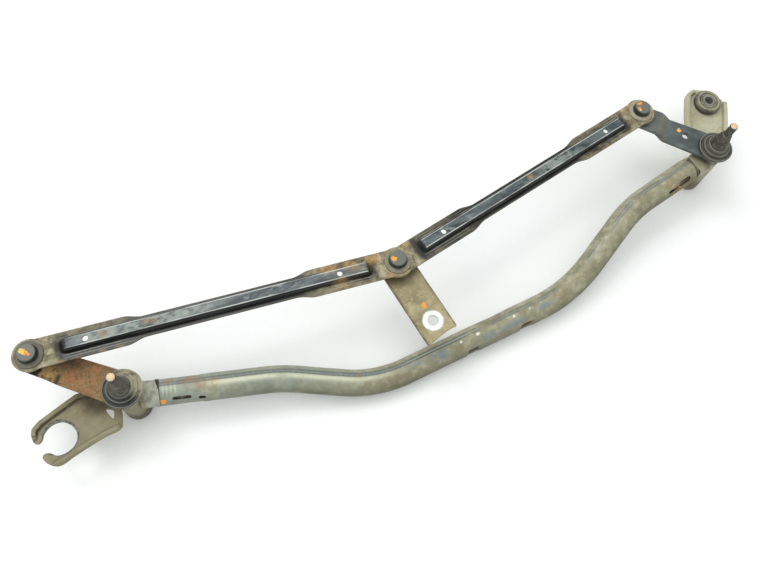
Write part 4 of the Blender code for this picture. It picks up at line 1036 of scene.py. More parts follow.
# The fork on the left housing: outline, rims and window, in plan from the left spindle
fork = {
    "low": 36.0,
    "thickness": 4.5,
    "rimHeight": 3.4,
    "neckFlare": 0.6,
    "slotCentre": (-64.5, -10.8),
    "slotEdge": 16.4,
    "upperEdge": ((-11.0, 13.0), (-25.0, 18.6), (-41.5, 20.0), (-59.2, 14.9), (-77.1, 9.6), (-84.2, 5.2),
                  (-86.3, 0.0), (-85.6, -6.4), (-82.6, -8.4), (-79.0, -6.6), (-76.4, -2.2)),
    "slot": ((-72.0, 1.2), (-66.2, 2.9), (-60.0, 2.2), (-55.4, -1.0), (-51.9, -6.0), (-50.6, -11.4),
             (-51.6, -17.0), (-55.2, -21.6), (-60.6, -24.4), (-66.8, -25.2), (-71.6, -24.0), (-74.8, -20.8),
             (-78.4, -18.7), (-81.4, -19.2)),
    "lowerEdge": ((-82.8, -21.6), (-81.2, -26.4), (-77.2, -30.9), (-72.6, -33.2), (-67.0, -33.0),
                  (-61.0, -31.2), (-52.7, -29.4), (-41.6, -27.2), (-29.6, -25.4), (-19.0, -24.8),
                  (-14.0, -22.4), (-12.4, -18.0), (-10.4, -11.0), (-11.0, -4.0), (-11.6, 4.0)),
    "upperRim": ((-12.0, 13.2), (-25.0, 18.4), (-41.5, 19.8), (-59.2, 14.7), (-77.0, 9.4), (-83.6, 5.2),
                 (-85.8, 0.0)),
    "lowerRim": ((-76.0, -31.4), (-72.6, -32.8), (-67.0, -32.6), (-61.0, -30.8), (-52.7, -29.0),
                 (-41.6, -26.8), (-29.6, -25.0), (-19.0, -24.2), (-14.6, -22.0)),
    "window": ((-22.6, -2.4), (-16.4, -6.6), (-19.0, -13.4)),
}


def stripOutline(line, near, far):
    # the band between two offsets to the left of a line
    line = np.asarray(line, float)
    along = unit(np.gradient(line, axis=0))
    side = np.stack([-along[:, 1], along[:, 0]], 1)
    return np.concatenate([line + near * side, (line + far * side)[::-1]])


def awayFromLine(x, y, line):
    # least distance, in plan, from each point to a line through the given places
    line = np.asarray(line, float)
    t = np.linspace(0.0, len(line) - 1.0, 20 * len(line))
    spots = np.stack([np.interp(t, np.arange(len(line)), line[:, k]) for k in range(2)], 1)
    return np.min([np.hypot(x - lineX, y - lineY) for lineX, lineY in spots], axis=0)


def makeLeftHousing():
    low = fork["low"]
    high = low + fork["thickness"]
    rimTop = high + fork["rimHeight"]
    outline = loopThrough(fork["upperEdge"] + fork["slot"] + fork["lowerEdge"], 6)
    blocks = [*housingBlocks(leftSpindle, tube["leftHeight"], tube["corners"][0], fork["neckFlare"]),
              slab(outline, low, high, 1.0)]
    for line, width in ((fork["upperRim"], 4.4), (fork["lowerRim"], 3.6)):
        blocks.append(slab(stripOutline(line, 0.2, width), low + 1.0, rimTop, 0.8))
    window = newPiece("window_cutter", [slab(loopThrough(fork["window"], 6), low - 6.0, rimTop + 6.0, 0.1)])
    piece = casting("left_casting", blocks)
    cut(piece, [window])
    x, y, z = pointsOf(piece).T
    onPlate = (x < -13.0).astype(float)
    fromSlot = np.hypot(x - fork["slotCentre"][0], y - fork["slotCentre"][1])
    fromUpper = awayFromLine(x, y, fork["upperEdge"][1:7])
    fromLower = awayFromLine(x, y, fork["lowerEdge"][3:10])
    lines = strongest(bell(fromUpper - 5.3, 1.0), 0.7 * bell(fromLower - 4.4, 0.8),
                      0.8 * bell(fromUpper, 0.8))
    # painted shade under the lever, low on the barrel and on the spigot inside the tube
    underLever = falling(np.hypot(x + 24.0, y - 10.0), 22.0, 14.0) * (z > 38.0)
    foot = falling(z, 30.0, 20.0) * (np.hypot(x, y) < 16.0)
    spigot = smoothStep((x - tube["endPlace"] + 1.0) / 0.5)
    mark(piece, "neck", rising(x, 9.0, 4.0) * rising(z, 18.0, 6.0))
    mark(piece, "slotEdge", falling(fromSlot, fork["slotEdge"], 0.6) * onPlate * (x > -78.0))
    # painted shade at the inner foot of the fork's rims and along its upper edge
    mark(piece, "groove", lines * onPlate * (z > low + 2.0))
    # browner where the lever's shadow falls on the fork: painted shade
    mark(piece, "brown", falling(x, -20.0, 6.0) * rising(x, -62.0, 30.0) * rising(y, -14.0, 20.0) * 0.8)
    mark(piece, "grime", strongest(0.7 * underLever, spigot, 0.8 * foot))
    return piece


# The grommet tab on the right housing: outline and rims in plan, from the right spindle outwards
tab = {
    "angle": 56.5,
    "low": 43.0,
    "thickness": 4.5,
    "rimHeight": 4.0,
    "rimWidth": 4.2,
    "neckFlare": 1.4,
    "holeDiameter": 20.6,
    "outline": ((2.0, -11.0), (16.0, -16.5), (34.0, -21.5), (46.0, -22.2), (62.0, -22.2), (71.0, -21.8),
                (75.0, -19.6), (80.5, -13.5), (84.8, -7.5), (85.6, 0.0), (84.8, 9.0), (82.4, 15.0),
                (78.4, 19.8), (72.6, 22.4), (62.0, 22.8), (46.0, 22.8), (34.0, 22.0), (16.0, 16.5),
                (2.0, 11.0)),
    "rims": (((8.0, -12.5), (20.0, -16.2), (34.0, -19.4), (46.0, -20.2), (62.0, -20.2), (72.5, -19.8)),
             ((8.0, 12.5), (20.0, 16.4), (34.0, 19.8), (46.0, 20.6), (62.0, 20.6), (72.5, 20.0),
              (77.0, 17.6), (80.6, 13.2))),
}


def makeRightHousing():
    low = tab["low"]
    high = low + tab["thickness"]
    rimTop = high + tab["rimHeight"]
    plate = placedFlat(loopThrough(tab["outline"], 5), rightSpindle, tab["angle"])
    blocks = [*housingBlocks(rightSpindle, tube["rightHeight"], tube["corners"][-1], tab["neckFlare"]),
              slab(plate, low, high, 0.9)]
    for line in tab["rims"]:
        rim = stripOutline(line, -tab["rimWidth"] / 2, tab["rimWidth"] / 2)
        blocks.append(slab(placedFlat(rim, rightSpindle, tab["angle"]), low + 1.0, rimTop, 0.9))
    piece = casting("right_casting", blocks)
    drill(piece, [(*grommetCentre, tab["holeDiameter"])], low - 8.0, rimTop + 8.0)
    x, y, z = pointsOf(piece).T
    away = np.hypot(x - rightSpindle[0], y - rightSpindle[1])
    # painted shade under the cap and lever, low on the barrel and on the spigot inside the tube
    foot = falling(z, 30.0, 20.0)
    underCap = falling(away, 26.0, 12.0) * (z > 52.0)
    spigot = smoothStep((away - tube["endPlace"] + 1.0) / 0.5) * (y < 4.0)
    mark(piece, "neck", falling(away, 14.0, 4.0) * foot)
    mark(piece, "brown", 0.4 * falling(away, 34.0, 20.0))
    mark(piece, "grime", strongest(0.7 * underCap, 0.65 * foot, spigot))
    return piece


leftCast, rightCast = makeLeftHousing(), makeRightHousing()
install(leftCast, "frame",
        castMaterial("khaki casting", (146, 140, 112), (128, 122, 94), (170, 173, 156)), "left_housing")
install(rightCast, "frame",
        castMaterial("pale casting", (188, 185, 157), (164, 161, 132), (156, 152, 124)), "right_housing")
print("housings made:", len(leftCast.data.polygons), "and", len(rightCast.data.polygons), "faces")


# Drive rods: pressed sheet with a hat rib that runs out to a flat eye at each end
rod = {
    "sheet": 2.0,
    "edge": 0.35,
    "eye": 14.5,
    "wing": 13.2,
    "wingEnd": 79.0,
    "runout": 17.0,
    "narrow": 9.6,
    "ribHeight": 6.5,
    "ribTop": 3.7,
    "ribLean": 76.0,
    "ribBend": 1.5,
    "ribStart": 24.0,
    "ribRamp": 7.5,
}

# Holes are (distance from the nearer joint, diameter). Dust is (upper side, lower side) of each end.
# Rust spots are (along the rod from that end's joint, across it, size)
rodLooks = {
    "left": {
        "startHoles": ((0.0, 18.2), (47.6, 5.0)),
        "endHoles": ((0.0, 18.2), (54.7, 5.0)),
        "startDust": (0.5, 0.15),
        "endDust": (0.95, 0.8),
        "startRust": ((98.0, 1.0, 2.0), (104.0, 1.0, 2.0), (62.0, 0.0, 2.6)),
        "endRust": ((3.0, -13.0, 6.0), (-9.0, -12.5, 4.0), (-40.0, 10.0, 9.0), (-62.0, 10.5, 8.0),
                    (-24.0, 11.0, 8.0), (13.0, 6.0, 4.0), (-55.0, -11.0, 6.0), (-5.0, 14.0, 4.0)),
        "worn": (44.0, 150.0),
        "darkUntil": 34.0,
    },
    "right": {
        "startHoles": ((0.0, 21.8), (52.2, 5.0)),
        "endHoles": ((0.0, 18.2), (50.6, 5.0)),
        "startDust": (0.3, 0.25),
        "endDust": (0.65, 0.95),
        "startRust": ((158.0, 1.0, 2.6), (15.0, 12.0, 4.0)),
        "endRust": ((-4.0, 13.5, 4.0), (10.0, -9.0, 3.0), (-12.0, 12.0, 4.0)),
        "worn": (168.0, 214.0),
        "darkUntil": 0.0,
    },
}


def hatHalf():
    # from the middle out: flat top, arc, straight flank, arc back to flat; y outwards, z from 0 to 1
    lean = math.radians(rod["ribLean"])
    bend = rod["ribBend"]
    turn = lean * np.linspace(0.0, 1.0, 7)
    flank = (rod["ribHeight"] - 2 * bend * (1 - math.cos(lean))) / math.sin(lean)
    y1 = rod["ribTop"] + bend * np.sin(turn)
    z1 = rod["ribHeight"] - bend * (1 - np.cos(turn))
    run = np.linspace(0.0, 1.0, 5)[1:-1] * flank
    y2 = y1[-1] + run * math.cos(lean)
    z2 = z1[-1] - run * math.sin(lean)
    foot = y1[-1] + flank * math.cos(lean) + bend * math.sin(lean)
    y3 = foot - bend * np.sin(turn[::-1])
    z3 = bend * (1 - np.cos(turn[::-1]))
    y = np.concatenate([[0.0, rod["ribTop"] * 0.5], y1, y2, y3])
    z = np.concatenate([[rod["ribHeight"]] * 2, z1, z2, z3])
    return y, z / rod["ribHeight"], foot


hatY, hatZ, hatFoot = hatHalf()


def rodHalf(inward):
    # half of the rod's width at a distance from the nearer joint: wings, runout, narrow middle
    return rod["wing"] + (rod["narrow"] - rod["wing"]) * rising(inward, rod["wingEnd"], rod["runout"])


def rodPiece(name, start, end, underside, look):
    length, angle = lengthAndAngle(start, end)
    # plan: round eye until it meets the wing line, then the wing's own outline
    turn = np.linspace(0.0, math.pi - math.asin(rod["wing"] / rod["eye"]), 30)
    eyeX, eyeY = -rod["eye"] * np.cos(turn), rod["eye"] * np.sin(turn)
    ramp = rod["ribStart"] + rod["ribRamp"] * np.linspace(-0.1, 1.1, 16)
    x = np.concatenate([np.linspace(float(eyeX[-1]) + 1.0, 23.0, 8), ramp, np.linspace(32.0, 110.0, 46),
                        np.linspace(114.0, length / 2, 14)])
    x = np.unique(np.concatenate([x, length - x]))
    wings = np.stack([x, rodHalf(np.minimum(x, length - x))], 1)
    farEye = np.stack([length - eyeX[::-1], eyeY[::-1]], 1)
    upper = np.concatenate([np.stack([eyeX, eyeY], 1), wings, farEye])

    def section(x, half):
        # the hat rib rises out of the flat sheet, and the wings fill the rest of the width
        rise = rising(np.minimum(x, length - x), rod["ribStart"], rod["ribRamp"])
        narrowing = np.minimum(0.72 + 0.28 * rise, 0.8 * half / hatFoot)[:, None]
        inner = hatY[None] * narrowing
        outer = inner[:, -1:] + (half[:, None] - inner[:, -1:]) * np.linspace(0.0, 1.0, 9)[1:][None]
        y = np.concatenate([inner, outer], 1)
        z = np.concatenate([rise[:, None] * hatZ[None] * rod["ribHeight"], 0 * outer], 1)
        middle = underside + rod["sheet"] / 2
        return np.concatenate([-y[:, :0:-1], y], 1), middle + np.concatenate([z[:, :0:-1], z], 1)

    piece = newPiece(name, [pressed(upper, section, rod["sheet"], rod["edge"], start, angle)], 50.0)
    way = unit(end - start)
    cuts = []
    for (near, nearSize), (far, farSize) in zip(look["startHoles"], look["endHoles"]):
        cuts += [(*(start + way * near), nearSize), (*(start + way * (length - far)), farSize)]
    drill(piece, cuts, underside - 9.0, underside + 18.0)
    return piece, length, angle


def markRod(piece, start, length, angle, underside, look):
    along, across, above = localTo(piece, start, angle)
    inward = np.minimum(along, length - along)
    fromOutline = np.abs(across) - rodHalf(inward)
    flat = 1 - smoothStep((above - underside - rod["sheet"] - 0.6) / 1.2)
    wide = falling(inward, rod["wingEnd"] + rod["runout"], 22.0)
    upperSide = smoothStep(across / 4.0 + 0.5)
    upperDust, lowerDust = [np.where(along < length / 2, nearDust, farDust)
                            for nearDust, farDust in zip(look["startDust"], look["endDust"])]
    fromRib = roundBox(along - length / 2, across, length / 2 - rod["ribStart"], hatFoot, 2.0)
    spots = [*look["startRust"], *[(length + x, y, size) for x, y, size in look["endRust"]]]
    rust = np.max([bell(np.hypot(along - x, across - y), size) for x, y, size in spots], axis=0)
    # painted shade on the flat sheet round the rib's ends
    mark(piece, "halo", falling(fromRib, 6.5, 5.0) * falling(inward, rod["ribStart"] + 16.0, 10.0))
    mark(piece, "wing", flat * wide * (upperSide * upperDust + (1 - upperSide) * lowerDust))
    mark(piece, "wings", wide * rising(inward, rod["ribStart"], 6.0))
    mark(piece, "eye", falling(inward, rod["ribStart"] + 5.0, 12.0) * flat)
    mark(piece, "rim", rising(fromOutline, -2.4, 2.0) * wide)
    mark(piece, "lip", rising(fromOutline, -1.3, 0.6))
    mark(piece, "rusty", 1.3 * rust)


for side, start, end in (("left", leftJoint, centreJoint), ("right", centreJoint, rightJoint)):
    look = rodLooks[side]
    underside = cadHeights(side + "_rod")[0]
    piece, length, angle = rodPiece(side + "_rod_skin", start, end, underside, look)
    markRod(piece, start, length, angle, underside, look)
    paint = rodMaterial(side + " rod paint", start, angle, underside, *look["worn"], look["darkUntil"])
    install(piece, side + "_rod_body", paint, side + "_rod")
print("rods made")


# Crank levers: pressed plate with a joggle up to the ball joint
lever = {
    "thickness": 3.5,
    "edge": 0.6,
    "root": 15.0,
    "tip": 13.0,
    "joggle": 6.4,
    "joggleStart": 51.0,
    "joggleLength": 13.0,
    "hole": (32.0, -1.5, 7.0),
    "dab": (40.0, -5.0),
}


def leverPiece(side, start, end):
    length, angle = lengthAndAngle(start, end)
    lean = math.asin((lever["root"] - lever["tip"]) / length)
    rootTurn = np.linspace(0.0, math.pi / 2 + lean, 26)
    tipTurn = np.linspace(math.pi / 2 - lean, 0.0, 26)
    root = np.stack([-lever["root"] * np.cos(rootTurn), lever["root"] * np.sin(rootTurn)], 1)
    tip = np.stack([length + lever["tip"] * np.cos(tipTurn), lever["tip"] * np.sin(tipTurn)], 1)
    t = np.linspace(0.0, 1.0, 60)[1:-1, None]
    upper = np.concatenate([root, root[-1] * (1 - t) + tip[0] * t, tip])
    middle = cadHeights(side + "_lever")[0] + lever["thickness"] / 2

    def section(x, half):
        # flat across, and lifted by the joggle along
        y = half[:, None] * np.linspace(-1.0, 1.0, 25)[None]
        rise = lever["joggle"] * rising(x, lever["joggleStart"], lever["joggleLength"])
        return y, middle + rise[:, None] + 0 * y

    surface = pressed(upper, section, lever["thickness"], lever["edge"], start, angle)
    return newPiece(side + "_lever_plate", [surface], 50.0), angle


leftLever, angle = leverPiece("left", leftSpindle, leftJoint)
x, y, z = localTo(leftLever, leftSpindle, angle)
# the dark tip under the rod's eye is grease and painted shadow, the line at 54 mm a dark line across the
# joggle, and the band on the -y side from 46 mm out the rod's painted shadow
darkTip = rising(x + 0.8 * np.sin(y), 67.5, 1.5)
darkLine = bell(x - 54.0, 1.4) * rising(y, 4.0, 3.0)
rodShadow = 0.8 * falling(y, -1.0, 6.0) * rising(x, 46.0, 12.0)
mark(leftLever, "joggle", falling(np.abs(x - 61.0), 7.5, 2.0) * rising(y, -1.0, 4.0))
mark(leftLever, "greasy", strongest(darkTip, darkLine, rodShadow))
install(leftLever, "left_crank", rustyMaterial(), "left_lever")

rightLever, angle = leverPiece("right", rightSpindle, rightJoint)
x, y, diameter = lever["hole"]
hole, dabSpot = placedFlat(np.array([(x, y), lever["dab"]]), rightSpindle, angle)
drill(rightLever, [(*hole, diameter)], 40.0, 90.0)
leverDab = (*dabSpot, cadHeights("right_lever")[0] + lever["thickness"])
x, y, z = localTo(rightLever, rightSpindle, angle)
mark(rightLever, "joggle", falling(np.abs(x - 57.0), 8.0, 4.0))
mark(rightLever, "dusty", rising(x, 60.0, 12.0) * 0.6)
install(rightLever, "right_crank", blackLeverMaterial(), "right_lever")
print("levers made")


# Spindles with thread, undercut, knurled taper, shoulder and shaft
spindle = {
    "thread": 4.0,
    "threadLength": 14.5,
    "pitch": 1.25,
    "threadDepth": 0.42,
    "undercut": 3.45,
    "taperTop": 5.1,
    "taperBase": 8.4,
    "taperLength": 14.0,
    "knurls": 48,
    "knurlDepth": 0.22,
    "shoulder": 9.0,
    "shoulderLength": 3.2,
    "shaft": 6.0,
}


def spindlePiece(name, centre, low, high):
    # r(a, z) = profile(z), less the thread's groove, depth (1 - |sin(pi (z / pitch - a / 2 pi))|),
    # or the knurl's, depth |sin(n a / 2)|
    s = spindle
    taperTop = high - s["threadLength"]
    taperBase = taperTop - s["taperLength"]
    shoulderLow = taperBase - s["shoulderLength"]
    z = np.concatenate([
        [high, high], np.linspace(high - 0.1, taperTop + 2.0, 90),
        np.linspace(taperTop + 1.9, taperTop + 0.05, 8), [taperTop],
        np.linspace(taperTop - 0.3, taperBase + 0.6, 44),
        [taperBase + 0.2, taperBase, taperBase - 0.3, taperBase - 0.9, shoulderLow + 0.4, shoulderLow,
         shoulderLow, low + 0.6, low, low]])
    heights, radii = np.array([
        (high, s["thread"] - 0.9), (high - 0.9, s["thread"]), (taperTop + 2.0, s["thread"]),
        (taperTop + 1.5, s["undercut"]), (taperTop + 0.3, s["undercut"]), (taperTop, 3.9),
        (taperTop - 0.01, 4.6), (taperTop - 0.5, s["taperTop"]),
        (taperBase + 0.2, s["taperBase"]), (taperBase, s["taperBase"])]).T
    r = np.interp(-z, -heights, radii)
    r[0] = 0.0
    r[-8:] = [s["shoulder"] - 0.3, s["shoulder"], s["shoulder"], s["shoulder"] - 0.3, s["shaft"], s["shaft"],
              s["shaft"] - 0.5, 0.0]
    around = np.linspace(0.0, 2 * np.pi, 240, endpoint=False)
    height, turn = np.meshgrid(z, around, indexing="ij")
    radius = np.repeat(r[:, None], len(around), 1)
    threaded = smoothStep((height - taperTop - 1.6) / 0.8) * smoothStep((high + 0.1 - height) / 1.0)
    groove = 1.0 - np.abs(np.sin(np.pi * (height / s["pitch"] - turn / (2 * np.pi))))
    radius -= s["threadDepth"] * threaded * groove
    knurled = smoothStep((taperTop - 1.2 - height) / 0.5) * smoothStep((height - taperBase - 2.0) / 0.6)
    radius -= s["knurlDepth"] * knurled * np.abs(np.sin(s["knurls"] * turn / 2))
    radius[0] = 0.0
    points = np.stack([centre[0] + radius * np.cos(turn), centre[1] + radius * np.sin(turn), height], -1)
    piece = newPiece(name, [grid(points)], 60.0)
    x, y, z = pointsOf(piece).T
    away = np.hypot(x - centre[0], y - centre[1])
    onTip = smoothStep((z - high + 0.7) / 0.3)
    mark(piece, "painted", onTip * smoothStep((3.1 - away + 0.5 * np.sin(3 * x)) / 0.4))
    mark(piece, "tipRim", onTip)
    return piece


spindles = (("left", leftSpindle), ("right", rightSpindle))
spindleSteel = spindleMaterial()
for side, centre in spindles:
    node = side + "_spindle"
    piece = spindlePiece(node + "_turned", centre, *cadHeights(node))
    install(piece, side + "_crank", spindleSteel, node)
print("spindles made")


# Dust caps: a rimmed disc, a step and a collar. The left one's dust is the bearing of its middle and
# its reach to each side in degrees, the right one's an even amount
dustCap = {
    "disc": 17.4,
    "discThickness": 2.4,
    "lip": 1.4,
    "groove": 0.6,
    "step": 13.4,
    "stepHeight": 2.2,
    "collar": 10.2,
    "bore": 6.3,
    "leftDust": (20.0, 95.0),
    "rightDust": 0.15,
}


def dustCapPiece(side, centre):
    low, high = cadHeights(side + "_dust_cap")
    disc, step, collar, bore = [dustCap[key] for key in ("disc", "step", "collar", "bore")]
    discTop = low + dustCap["discThickness"]
    stepTop = discTop + dustCap["stepHeight"]
    groove = discTop - dustCap["groove"]
    lipStart = disc - dustCap["lip"]
    corners = [(bore, high, 0.3), (collar - 0.3, high, 0.8), (collar + 0.3, stepTop + 0.2, 0.4),
               (collar + 1.0, stepTop - 0.3, 0.3), (step - 1.0, stepTop, 0.5), (step, stepTop - 0.3, 0.7),
               (step + 0.5, groove, 0.3), (lipStart - 0.8, groove, 0.3), (lipStart, discTop, 0.4),
               (disc - 0.2, discTop - 0.1, 0.6), (disc, low + 1.2, 0.3), (disc - 0.5, low + 0.9, 0.2),
               (disc - 0.2, low, 0.3), (bore, low, 0.2)]
    piece = roundPiece(side + "_cap_rubber", corners, centre, 120)
    x, y, z = pointsOf(piece).T
    away = np.hypot(x - centre[0], y - centre[1])
    if side == "left":
        dustBearing, dustReach = dustCap["leftDust"]
        bearing = np.degrees(np.arctan2(y - centre[1], x - centre[0]))
        dusty = falling(np.abs((bearing - dustBearing + 180.0) % 360.0 - 180.0), dustReach, 60.0)
    else:
        dusty = np.full(len(away), dustCap["rightDust"])
    shine = strongest(bell(away - disc + 0.8, 0.5), bell(away - step + 0.6, 0.45),
                      bell(away - collar + 0.5, 0.5))
    mark(piece, "dusty", dusty)
    mark(piece, "shine", shine * (z > low + 1.0))
    return piece


capRubber = rubberMaterial("black cap rubber", (20, 22, 21), (172, 166, 136), 0.9)
for side, centre in spindles:
    install(dustCapPiece(side, centre), side + "_crank", capRubber, side + "_dust_cap")


# Ball sockets: cap, flange and collar round the same hollow as the solids have.
# A dab of paint is its place from the cap's centre, its size and its tone
socket = {
    "cap": 7.8,
    "flange": 12.2,
    "flangeThickness": 2.0,
    "flangeLift": 0.3,
    "collar": 8.8,
    "ball": 5.5,
    "crown": 1.2,
}
socketLooks = {
    "left": {
        "centre": leftJoint, "body": "left_rod_body", "rod": "left_rod", "clearance": 0.3, "dust": 0.3,
        "dabs": ((-3.6, 2.6, 2.2, dabYellow), (-1.8, 1.2, 2.4, dabYellow), (0.2, -0.6, 2.2, dabOrange),
                 (1.6, -2.0, 1.6, dabOrange)),
    },
    "centre": {
        "centre": centreJoint, "body": "left_rod_body", "rod": "left_rod", "clearance": 0.3, "dust": 0.65,
        "dabs": ((-4.4, 1.6, 2.2, dabOrange), (-3.2, 0.2, 2.2, dabYellow), (-4.6, -0.4, 1.6, dabOrange)),
    },
    "right": {
        "centre": rightJoint, "body": "right_rod_body", "rod": "right_rod", "clearance": 0.95, "dust": 0.95,
        "dabs": ((-2.4, 4.4, 2.0, dabOrange), (-0.6, 4.8, 1.6, dabOrange), (-4.8, -0.4, 1.8, dabOrange),
                 (-5.0, -2.2, 1.4, dabYellow)),
    },
}


def socketPiece(node, centre, clearance, flangeLow):
    low, high = cadHeights(node)
    cap, flange, collar, ball = [socket[key] for key in ("cap", "flange", "collar", "ball")]
    flangeTop = flangeLow + socket["flangeThickness"]
    hollow = ball + clearance
    ballHeight = high - socket["crown"] - hollow
    mouth = max(ball - 0.9, 3.0 + 1.4 * clearance)
    outer = [(0.0, high - 0.15, 0.0), (1.2, high - 0.15, 0.2), (1.5, high, 0.1), (cap - 1.2, high, 0.3),
             (cap - 0.3, high - 0.4, 0.5), (cap, high - 1.6, 0.5), (cap + 0.3, flangeTop + 0.7, 0.6),
             (cap + 1.4, flangeTop + 0.1, 0.6), (flange - 2.2, flangeTop, 0.4),
             (flange - 1.6, flangeTop + 0.3, 0.3), (flange - 0.4, flangeTop + 0.1, 0.5),
             (flange, flangeTop - 0.8, 0.5), (flange, flangeLow, 0.3), (collar, flangeLow, 0.2),
             (collar, low, 0.4), (mouth, low, 0.3)]
    turn = np.linspace(-math.acos(mouth / hollow), math.pi / 2, 16)
    inner = np.stack([hollow * np.cos(turn), ballHeight + hollow * np.sin(turn)], 1)
    inner[-1, 0] = 0.0
    profile = np.concatenate([roundedCorners(outer)[:-1], [[mouth, low + 0.2]], inner])
    piece = newPiece(node + "_moulding", [turned(profile, centre)])
    x, y, z = pointsOf(piece).T
    away = np.hypot(x - centre[0], y - centre[1])
    mark(piece, "top", smoothStep((z - high + 0.9) / 0.5) * (away < cap))
    mark(piece, "flange", smoothStep((away - cap - 0.4) / 1.2))
    return piece


for side, look in socketLooks.items():
    node = side + "_joint_socket"
    flangeLow = cadHeights(look["rod"])[0] + rod["sheet"] + socket["flangeLift"]
    plastic = capMaterial(side + " socket plastic", look["centre"], cadHeights(node)[1],
                          look["dust"], look["dabs"])
    piece = socketPiece(node, look["centre"], look["clearance"], flangeLow)
    install(piece, look["body"], plastic, node)
print("dust caps and sockets made")


# Motor crank plate with its ragged end and the bright ring round its hole.
# Planes are the first and last whole division, counted from the centre joint
crank = {
    "angle": -83.0,
    "length": 61.6,
    "thickness": 4.0,
    "width": 32.6,
    "hole": 10.6,
    "ring": 10.6,
    "dab": (-1.0, 15.6),
    "division": 1.4,
    "planesAlong": (-16, 57),
    "planesAcross": (-11, 11),
}
crankTurn = math.radians(crank["angle"])
crankWay = np.array([math.cos(crankTurn), math.sin(crankTurn)])
crankHole = centreJoint + crankWay * crank["length"]
crankLow = cadHeights("motor_crank_plate")[0]
crankTop = crankLow + crank["thickness"]
crankDab = (*(crankHole + np.array(crank["dab"])), crankTop)


def divide(piece, direction, planes):
    # the lids are divided by planes across the direction, so that the marks have points to sit on
    net = bmesh.new()
    net.from_mesh(piece.data)
    for k in range(planes[0], planes[1] + 1):
        cutAt = centreJoint + direction * k * crank["division"]
        everything = [*net.verts, *net.edges, *net.faces]
        bmesh.ops.bisect_plane(net, geom=everything, plane_co=(*(cutAt * mm), 0.0),
                               plane_no=(*direction, 0.0))
    net.to_mesh(piece.data)
    net.free()


def makeCrank():
    half = crank["width"] / 2
    length = crank["length"]
    turn = np.linspace(math.pi / 2, 3 * math.pi / 2, 40)
    back = np.stack([half * np.cos(turn), half * np.sin(turn)], 1)
    end = roundedCorners([(length - 20.0, -half, 0.0), (length + 17.8, -half, 1.4),
                          (length + 16.2, -half * 0.42, 3.0), (length + 15.0, half * 0.1, 4.0),
                          (length + 14.2, half * 0.55, 3.0), (length + 14.9, half, 1.2),
                          (length - 20.0, half, 0.0)])
    outline = placedFlat(np.concatenate([back, end]), centreJoint, crank["angle"])
    piece = newPiece("crank_plate", [slab(outline, crankLow, crankTop, 0.5)], 50.0)
    divide(piece, crankWay, crank["planesAlong"])
    divide(piece, np.array([-crankWay[1], crankWay[0]]), crank["planesAcross"])
    drill(piece, [(*crankHole, crank["hole"])], crankLow - 5.0, crankLow + 12.0)
    x, y = (pointsOf(piece)[:, :2] - centreJoint).T
    across = np.abs(x * crankWay[1] - y * crankWay[0])
    mark(piece, "rim", smoothStep((across - half + 1.8) / 1.4))
    mark(piece, "shadowed", falling(np.hypot(x, y), 26.0, 12.0))
    return piece


install(makeCrank(), "motor_crank", crankMaterial(), "motor_crank_plate")
print("motor crank made")


# Rubber grommet on the tab and its steel sleeve
grommet = {"outer": 14.2, "top": 13.0, "groove": 10.0, "sleeve": 6.8, "bore": 4.5}


def makeGrommet():
    low, high = cadHeights("tab_grommet")
    outer, top, groove = grommet["outer"], grommet["top"], grommet["groove"]
    inner = grommet["sleeve"] + 0.3
    below, above = tab["low"] - 0.3, tab["low"] + tab["thickness"] + 0.3
    corners = [(inner, high, 0.2), (inner + 1.2, high, 0.3), (inner + 1.6, high - 0.7, 0.3),
               (inner + 2.6, high - 0.7, 0.3), (inner + 3.0, high, 0.3), (top - 0.7, high - 0.1, 0.6),
               (top, high - 0.7, 0.5), (outer, high - 1.8, 0.8), (outer + 0.05, above + 1.3, 0.8),
               (outer - 0.9, above, 0.4), (groove, above, 0.2), (groove, below, 0.2),
               (outer - 0.9, below, 0.4), (outer, below - 0.9, 0.6), (outer - 1.4, low, 0.8),
               (inner, low, 0.3)]
    piece = roundPiece("grommet_rubber", corners, grommetCentre, 110)
    height = pointsOf(piece)[:, 2] - high
    mark(piece, "dusty", rising(height, -0.35, 0.3) + 0.35 * rising(height, -4.0, 2.0))
    return piece


def makeSleeve():
    low, high = cadHeights("grommet_sleeve")
    bore, outer = grommet["bore"], grommet["sleeve"]
    corners = [(bore, high, 0.4), (outer, high, 0.3), (outer, low, 0.3), (bore, low, 0.4)]
    return roundPiece("sleeve_steel", corners, grommetCentre, 80)


install(makeGrommet(), "frame",
        rubberMaterial("dusty grommet rubber", (60, 57, 50), (158, 155, 128), 0.9), "tab_grommet")
install(makeSleeve(), "frame",
        plainMetal("grey sleeve steel", (110, 112, 102), (140, 142, 130), 0.3, 0.5), "grommet_sleeve")
print("grommet made")


# Small turned pieces that keep their solids get their metals here
bronze = plainMetal("sintered bronze", (140, 104, 58), (168, 128, 74), 0.85, 0.45)
darkSteel = plainMetal("dark stud steel", (78, 76, 70), (108, 104, 94), 0.8, 0.4)
plugPlastic = rubberMaterial("grey plug plastic", (60, 62, 60), (122, 116, 96), 0.6)
for name, node in frame["nodes"].items():
    chosen = None
    if name.endswith("end_plug") or name == "centre_bush":
        chosen = plugPlastic
    elif name.endswith("bush"):
        chosen = bronze
    elif name.endswith(("washer", "circlip", "ball_stud")):
        chosen = darkSteel
    if chosen:
        node.data.materials.clear()
        node.data.materials.append(chosen)
print("solids coloured")

